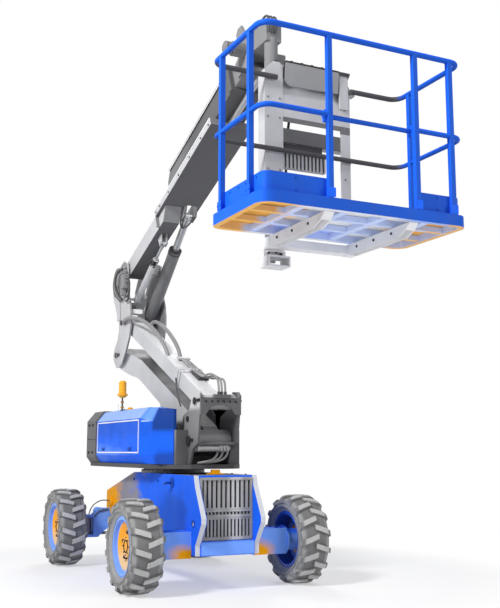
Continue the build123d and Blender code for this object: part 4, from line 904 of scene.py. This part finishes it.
# clamps over the hoses, and a bracket on the arm's right side
with piece("tie_clamps", light, "tie_link", bevel=0.003) as bm:
    for u in (0.56, 0.9):
        add_box(bm, on_tie(u, -0.02, 0.108), (0.05, 0.13, 0.018), ARM_TURN)
    add_box(bm, on_tie(0.62, -0.182, 0.03), (0.06, 0.01, 0.11), ARM_TURN)
    add_box(bm, on_tie(0.62, -0.15, 0.092), (0.075, 0.07, 0.02), ARM_TURN)
    for y in (-0.06, 0.02):
        add_bolt(bm, on_tie(0.56, y, 0.117), ARM_UP, 0.007, 0.008)
with piece("tie_manifold", dark, "tie_link", bevel=0.004) as bm:
    add_box(bm, on_tie(0.42, -0.02, 0.098), (0.2, 0.11, 0.03), ARM_TURN)

# pin keepers on the elbow: the pin, how far out its cap stands, and the sides that have one
TIE_HEAD = (-1.12, 0, 2.67)
KEEPERS = (
    (PIN["elbow_level"], 0.232, SIDES),
    (TIE_HEAD, 0.226, (-1,)),
    (PIN["upper_boom_raise"], 0.236, SIDES),
    (PIN["lift_cylinder_foot"], 0.226, (1,)),
)
with piece("elbow_keepers", dark, "elbow") as bm:
    for (x, _, z), cap_y, hands in KEEPERS:
        for hand in hands:
            outward = (0, hand, 0)
            dome(bm, (x, hand * cap_y, z), outward, ((0.03, 0.0), (0.03, 0.006), (0.018, 0.01), (0.0, 0.01)))
            add_box(bm, (x + 0.05, hand * 0.2195, z), (0.08, 0.009, 0.032))
            add_bolt(bm, (x + 0.078, hand * 0.224, z), outward, 0.008, 0.008)
# valve block with its fittings beside the boom pin
VALVE_Y = -0.262
with piece("elbow_valves", mid, "elbow", bevel=0.003) as bm:
    add_box(bm, (-0.93, -0.255, 3.12), (0.13, 0.06, 0.16))
    add_box(bm, (-1.0, -0.25, 3.02), (0.09, 0.05, 0.1))
    add_box(bm, (-1.02, -0.25, 3.235), (0.15, 0.045, 0.04))
    for x in (-0.97, -0.93, -0.89):
        add_rod(bm, (x, -0.255, 3.21), (x, -0.255, 3.255), 0.014, 6)
    for z in (3.07, 3.11, 3.15):
        for near_x, far_x in ((-0.995, -1.03), (-0.865, -0.83)):
            add_rod(bm, (near_x, VALVE_Y, z), (far_x, VALVE_Y, z), 0.012, 6)
# three loops round the boom pin, each a little inside the last
for k, rubber in enumerate((hose_rubber, hose_grey, hose_rubber)):
    dx, dy = 0.045 * k, 0.02 * k
    loop_y = -0.27 - dy * 0.4
    hose(f"elbow_hose_{k}", [
        (-0.99 + dx * 0.3, VALVE_Y - dy * 0.3, 3.262), (-1.1 + dx, loop_y + 0.002, 3.3 - dx * 0.3),
        (-1.2 + dx, loop_y, 3.285 - dx * 0.4), (-1.27 + dx, loop_y, 3.2), (-1.29 + dx, -0.27 - dy * 0.3, 3.1),
        (-1.26 + dx * 0.9, VALVE_Y, 3.02), (-1.19 + dx * 0.8, -0.245, 2.96), (-1.13 + dx * 0.8, -0.24, 2.93),
    ], 0.013, rubber, "elbow")
for k, z in enumerate((3.08, 3.13)):
    hose(f"valve_hose_{k}", [
        (-0.835, VALVE_Y, z), (-0.78, VALVE_Y, z + 0.01), (-0.75, -0.255, z - 0.06), (-0.79, -0.25, z - 0.16),
        (-0.87, -0.24, z - 0.2), (-0.95, -0.235, z - 0.18),
    ], 0.011, hose_rubber, "elbow")
with piece("elbow_tab", pale, "elbow", bevel=0.003) as bm:
    add_box(bm, (-0.86, -0.12, 2.772), (0.014, 0.12, 0.05))
hose("tower_lead", [
    on_tie(0.6, -0.192, 0.0), (0.6, -0.21, 1.83), (0.64, -0.215, 1.74), (0.72, -0.212, 1.64),
], 0.008, hose_rubber, "tie_link")

# ---- cylinders
LIFT_FOOT, LEVEL_FOOT = Vector(PIN["lift_cylinder_foot"]), Vector(PIN["level_cylinder_foot"])
LIFT_EYE = Vector(on_boom(1.215, LIFT_FOOT.y, -0.012))
LEVEL_EYE = Vector(on_boom(0.903, LEVEL_FOOT.y, -0.182))
LIFT_WAY = (LIFT_EYE - LIFT_FOOT).normalized()
LEVEL_WAY = (LEVEL_EYE - LEVEL_FOOT).normalized()


def add_collars(bm, foot, way, places, length, radius, segments):
    """Collars round a barrel, at places along it from its foot."""
    for d in places:
        add_rod(bm, foot + way * d, foot + way * (d + length), radius, segments)


# each gland has two collars, and each barrel a port block at its side
with piece("lift_gland", dark, "lift_cylinder") as bm:
    add_collars(bm, LIFT_FOOT, LIFT_WAY, (1.13, 1.165), 0.018, 0.0715, 32)
    port = LIFT_FOOT + LIFT_WAY * 0.16 + Vector((0.045, -0.03, -0.05))
    add_box(bm, port, (0.07, 0.05, 0.05), Matrix.Rotation(-0.7, 3, "Y"))
with piece("level_gland", black, "level_cylinder", bevel=0.003) as bm:
    add_collars(bm, LEVEL_FOOT, LEVEL_WAY, (0.66, 0.685), 0.014, 0.0385, 28)
    port = LEVEL_FOOT + LEVEL_WAY * 0.69 + Vector((0.0, -0.03, -0.03))
    add_box(bm, port, (0.05, 0.05, 0.05), Matrix.Rotation(-0.6, 3, "Y"))
for k, side in enumerate((-0.02, 0.02)):
    start = LEVEL_FOOT + LEVEL_WAY * (0.66 - 0.03 * k)
    hose(f"level_hose_{k}", [start + Vector(step) for step in (
        (0.0, side - 0.03, -0.04), (0.05, side - 0.035, -0.06), (0.09, side - 0.03, -0.02),
        (0.06, side - 0.03, 0.02 - 0.02 * k), (0.02, side - 0.045, -0.01),
    )], 0.008, hose_rubber, "level_cylinder")
# lift rod's eye: a cap on each side and a ring
with piece("lift_eye_ring", pale, "lift_piston", smooth=True) as bm:
    for y in (0.066, 0.15):
        dome(bm, (LIFT_EYE.x, y, LIFT_EYE.z), (0, 1, 0), (
            (0.0, -0.001), (0.046, -0.001), (0.046, 0.001), (0.0, 0.001)))
    ring(bm, LIFT_EYE, (0, 1, 0), 0.037, 0.006, 28, 8)
hose("lift_eye_hose", [
    on_boom(1.13, 0.055, -0.03), on_boom(1.09, 0.06, -0.085), on_boom(1.14, 0.085, -0.12),
    on_boom(1.2, 0.11, -0.115), on_boom(1.24, 0.135, -0.085), on_boom(1.25, 0.15, -0.05),
], 0.009, hose_rubber, "upper_boom")

# ---- upper boom
TUBE_TOP = 0.372                # top of the outer tube over the boom's line
# pale rails along the tube's top edges and the tray's sides, painted highlights on those edges
with piece("boom_edge_highlights", pale, "upper_boom") as bm:
    for hand in SIDES:
        add_box(bm, on_boom(2.25, hand * 0.164, 0.3425), (1.54, 0.004, 0.012), BOOM_TURN)
        add_box(bm, on_boom(1.86, hand * 0.212, 0.1), (1.57, 0.004, 0.014), BOOM_TURN)
with piece("boom_bolts", dark, "upper_boom") as bm:
    for hand in SIDES:
        for u in (1.6, 1.9, 2.2, 2.5, 2.8):
            add_bolt(bm, on_boom(u, hand * 0.15, 0.15), (0, hand, 0), 0.009, 0.008)
        for u in (1.12, 1.24, 1.5, 1.8, 2.1, 2.4, 2.6):
            add_bolt(bm, on_boom(u, hand * 0.21, 0.055), (0, hand, 0), 0.008, 0.008)
    for y in (-0.12, -0.04, 0.04, 0.12):
        add_bolt(bm, on_boom(3.05, y, TUBE_TOP), BOOM_UP, 0.01, 0.01)
for k, y in enumerate((-0.1, -0.06)):
    hose(f"boom_hose_{k}", [on_boom(u, y, w) for u, w in (
        (0.02, 0.11), (0.2, 0.105), (0.6, 0.1), (0.95, 0.1), (1.05, 0.13), (1.3, 0.16), (1.42, 0.33),
        (1.55, TUBE_TOP), (2.2, 0.374), (2.95, 0.374),
    )], 0.011, hose_rubber, "upper_boom")
with piece("boom_clips", black, "upper_boom", bevel=0.003) as bm:
    for u, w in ((1.7, TUBE_TOP), (2.1, TUBE_TOP), (2.5, TUBE_TOP), (2.9, TUBE_TOP), (0.3, 0.1), (0.7, 0.1)):
        add_box(bm, on_boom(u, -0.08, w), (0.03, 0.09, 0.03), BOOM_TURN)

# ---- boom tip, head and mast
with piece("level_drum", mid, "telescope", smooth=True) as bm:
    for y in (-0.272, -0.29, -0.308, -0.326):
        ring(bm, (TIP_X, y, TIP_Z), (0, 1, 0), 0.048, 0.009, 28, 8)
    add_rod(bm, (TIP_X, -0.258, TIP_Z), (TIP_X, -0.335, TIP_Z), 0.042, 24)
for k, y in enumerate((-0.095, -0.06, -0.025)):
    hose(f"head_hose_{k}", [
        (2.18, y, 4.885), (2.24, y, 4.93), (2.33, y - 0.005, 4.925), (2.385, y - 0.01, 4.87),
        (2.39, y - 0.012, 4.8), (2.375, y - 0.01, 4.75),
    ], 0.01, hose_rubber, "hanger")
with piece("mast_bands", dark, "hanger") as bm:
    for z in (4.1, 3.5, 2.95):
        ring(bm, (*MAST, z), (0, 0, 1), 0.058, 0.005, 40, 8)
    bolt_circle(bm, (*MAST, 2.828), (0, 0, -1), circle=0.08, count=8, size=(0.009, 0.01))
hose("mast_hose", [
    (x, MAST[1], z) for x, z in ((2.237, 4.5), (2.236, 4.3), (2.237, 3.8), (2.237, 3.3), (2.236, 2.98))
], 0.009, hose_rubber, "hanger")

# ---- cage
TOE_Z = 3.07                    # middle height of the feet that bolt the posts to the toe boards
with piece("post_feet", blue, "cage") as bm:
    for x, y, hand in ((2.69, -0.679, -1), (3.19, -0.679, -1), (2.69, 1.106, 1)):
        add_box(bm, (x, y + hand * 0.0205, TOE_Z), (0.07, 0.004, 0.07))
        for dx in (-0.024, 0.024):
            add_bolt(bm, (x + dx, y + hand * 0.0225, TOE_Z), (0, hand, 0), 0.006, 0.006)
    for y in (-0.125, 0.65, 0.987):
        add_box(bm, (3.4045, y, TOE_Z), (0.004, 0.07, 0.07))
with piece("toe_bolts", blue_dark, "cage") as bm:
    for y in (-0.4, 0.85):
        for z in (3.06, 3.15):
            add_bolt(bm, (3.3637, y, z), (1, 0, 0), 0.007, 0.006)
    for x in (2.8, 2.95, 3.08, 3.25):
        for hand, y in ((-1, -0.6587), (1, 1.0857)):
            add_bolt(bm, (x, y, 3.15), (0, hand, 0), 0.006, 0.006)
with piece("rear_toe_ticks", dark, "cage") as bm:
    for k in range(9):
        add_box(bm, (2.5405, -0.5 + k * 0.19, 3.165), (0.004, 0.01, 0.028))
# expanded floor: fine strips laid across one another on the members
MESH_PITCH, STRIP = 0.014, 0.0065
with piece("floor_mesh", mesh_paint, "cage") as bm:
    for k in range(123):
        add_box(bm, (2.9475, -0.64 + k * MESH_PITCH, 3.0005), (0.83, STRIP, 0.005))
    for k in range(59):
        add_box(bm, (2.545 + k * MESH_PITCH, 0.2135, 3.0055), (STRIP, 1.72, 0.005))
with piece("beam_bolts", dark, "cage") as bm:
    for y in (-0.11, 0.64):
        for x in (2.6, 2.85, 3.1):
            for side in SIDES:
                add_bolt(bm, (x, y + side * 0.042, 2.9), (0, side, 0), 0.009, 0.008)

# ---- console
with piece("console_bolts", mid, "cage") as bm:
    for y in (-0.17, -0.06, 0.57):
        for z in (3.2, 3.5, 3.95, 4.12):
            add_bolt(bm, (2.484, y, z), (1, 0, 0), 0.007, 0.006)
with piece("bellows_ribs", black, "cage") as bm:
    for k in range(12):
        add_box(bm, (2.4691, -0.001 + k * 0.0362, 3.61), (0.004, 0.007, 0.145))
# rounded apron that hangs from the edge of the control box, and the flange at its left end
APRON_FOOT = 4.24
APRON = (
    (0.5, 4.435), (-0.02, 4.435), (-0.02, 4.3), (-0.01, 4.27), (0.012, 4.248), (0.04, APRON_FOOT),
    (0.5, 4.252),
)
FLANGE = ((0.515, 4.2), (0.515, 4.4), (0.535, 4.425), (0.575, 4.43), (0.6, 4.4), (0.6, 4.12), (0.515, 4.12))
with piece("control_apron", mid_light, "cage") as bm:
    add_sheet(bm, APRON, 2.5, 0.008, lean=0.11, foot=APRON_FOOT)
with piece("control_flange", light, "cage") as bm:
    add_sheet(bm, FLANGE, 2.502, 0.016)
with piece("control_lip", black, "cage", bevel=0.003) as bm:
    add_box(bm, (2.505, 0.24, 4.443), (0.035, 0.52, 0.018))
with piece("console_knobs", black, "cage") as bm:
    for y in (0.1, 0.2, 0.3, 0.4):
        add_rod(bm, (2.40, y, 4.495), (2.402, y, 4.512), 0.014, 16)
hose("console_hose", [
    (2.37, 0.1, 4.05), (2.355, 0.08, 3.9), (2.36, 0.06, 3.6), (2.38, 0.05, 3.3), (2.4, 0.04, 3.12),
], 0.012, hose_rubber, "cage")

# ---- floor and light
floor_mesh = bpy.data.meshes.new("ground")
bm = bmesh.new()
bmesh.ops.create_grid(bm, x_segments=1, y_segments=1, size=60.0)
bm.to_mesh(floor_mesh)
bm.free()
ground = show("ground", floor_mesh)
g = Finish("ground_pale")
g.set(
    Base_Color=g.mix(g.noise(0.6, 3.0), (0.9, 0.9, 0.9), (0.94, 0.94, 0.94)),
    Roughness=0.95,
    Specular_IOR_Level=0.0,
)
# far off the floor runs out into the white backdrop, near the machine it keeps the shadow
away = g.nodes.new("ShaderNodeVectorMath")
away.operation = "LENGTH"
g.links.new(g.coords["Object"], away.inputs[0])
rays = g.clear_rays()
far_off = g.times(g.ramp(away.outputs["Value"], 2.2, 3.6), rays)
fade = g.maths("MAXIMUM", far_off, g.times(rays, 0.45))
plain = g.node("Emission", Strength=1.0)
g.blend(fade, g.shader, plain, g.nodes["Material Output"].inputs["Surface"])
floor_mesh.materials.append(g.mat)

scene.world = bpy.data.worlds.new("studio")
g = Graph(scene.world)
ambient = g.nodes["Background"]
g.feed(ambient.inputs["Color"], (0.92, 0.94, 1.0))
g.feed(ambient.inputs["Strength"], 0.34)
backdrop = g.node("Background", Color=(1.0, 1.0, 1.0), Strength=1.0)
g.blend(g.clear_rays(), ambient, backdrop, g.nodes["World Output"].inputs["Surface"])


def lamp(name, place, target, size, power):
    """A large soft area lamp aimed at a point."""
    data = bpy.data.lights.new(name, "AREA")
    data.shape = "DISK"
    data.size = size
    data.energy = power
    obj = show(name, data)
    obj.location = place
    obj.rotation_euler = (Vector(target) - Vector(place)).to_track_quat("-Z", "Y").to_euler()


lamp("key", (5.0, -9.0, 9.0), (0.5, 0.0, 2.0), 2.6, 1300.0)
lamp("fill", (10.0, 5.0, 5.0), (0.5, 0.0, 2.0), 6.0, 300.0)
lamp("rim_light", (-7.0, 3.0, 8.0), (0.0, 0.0, 2.0), 4.0, 350.0)
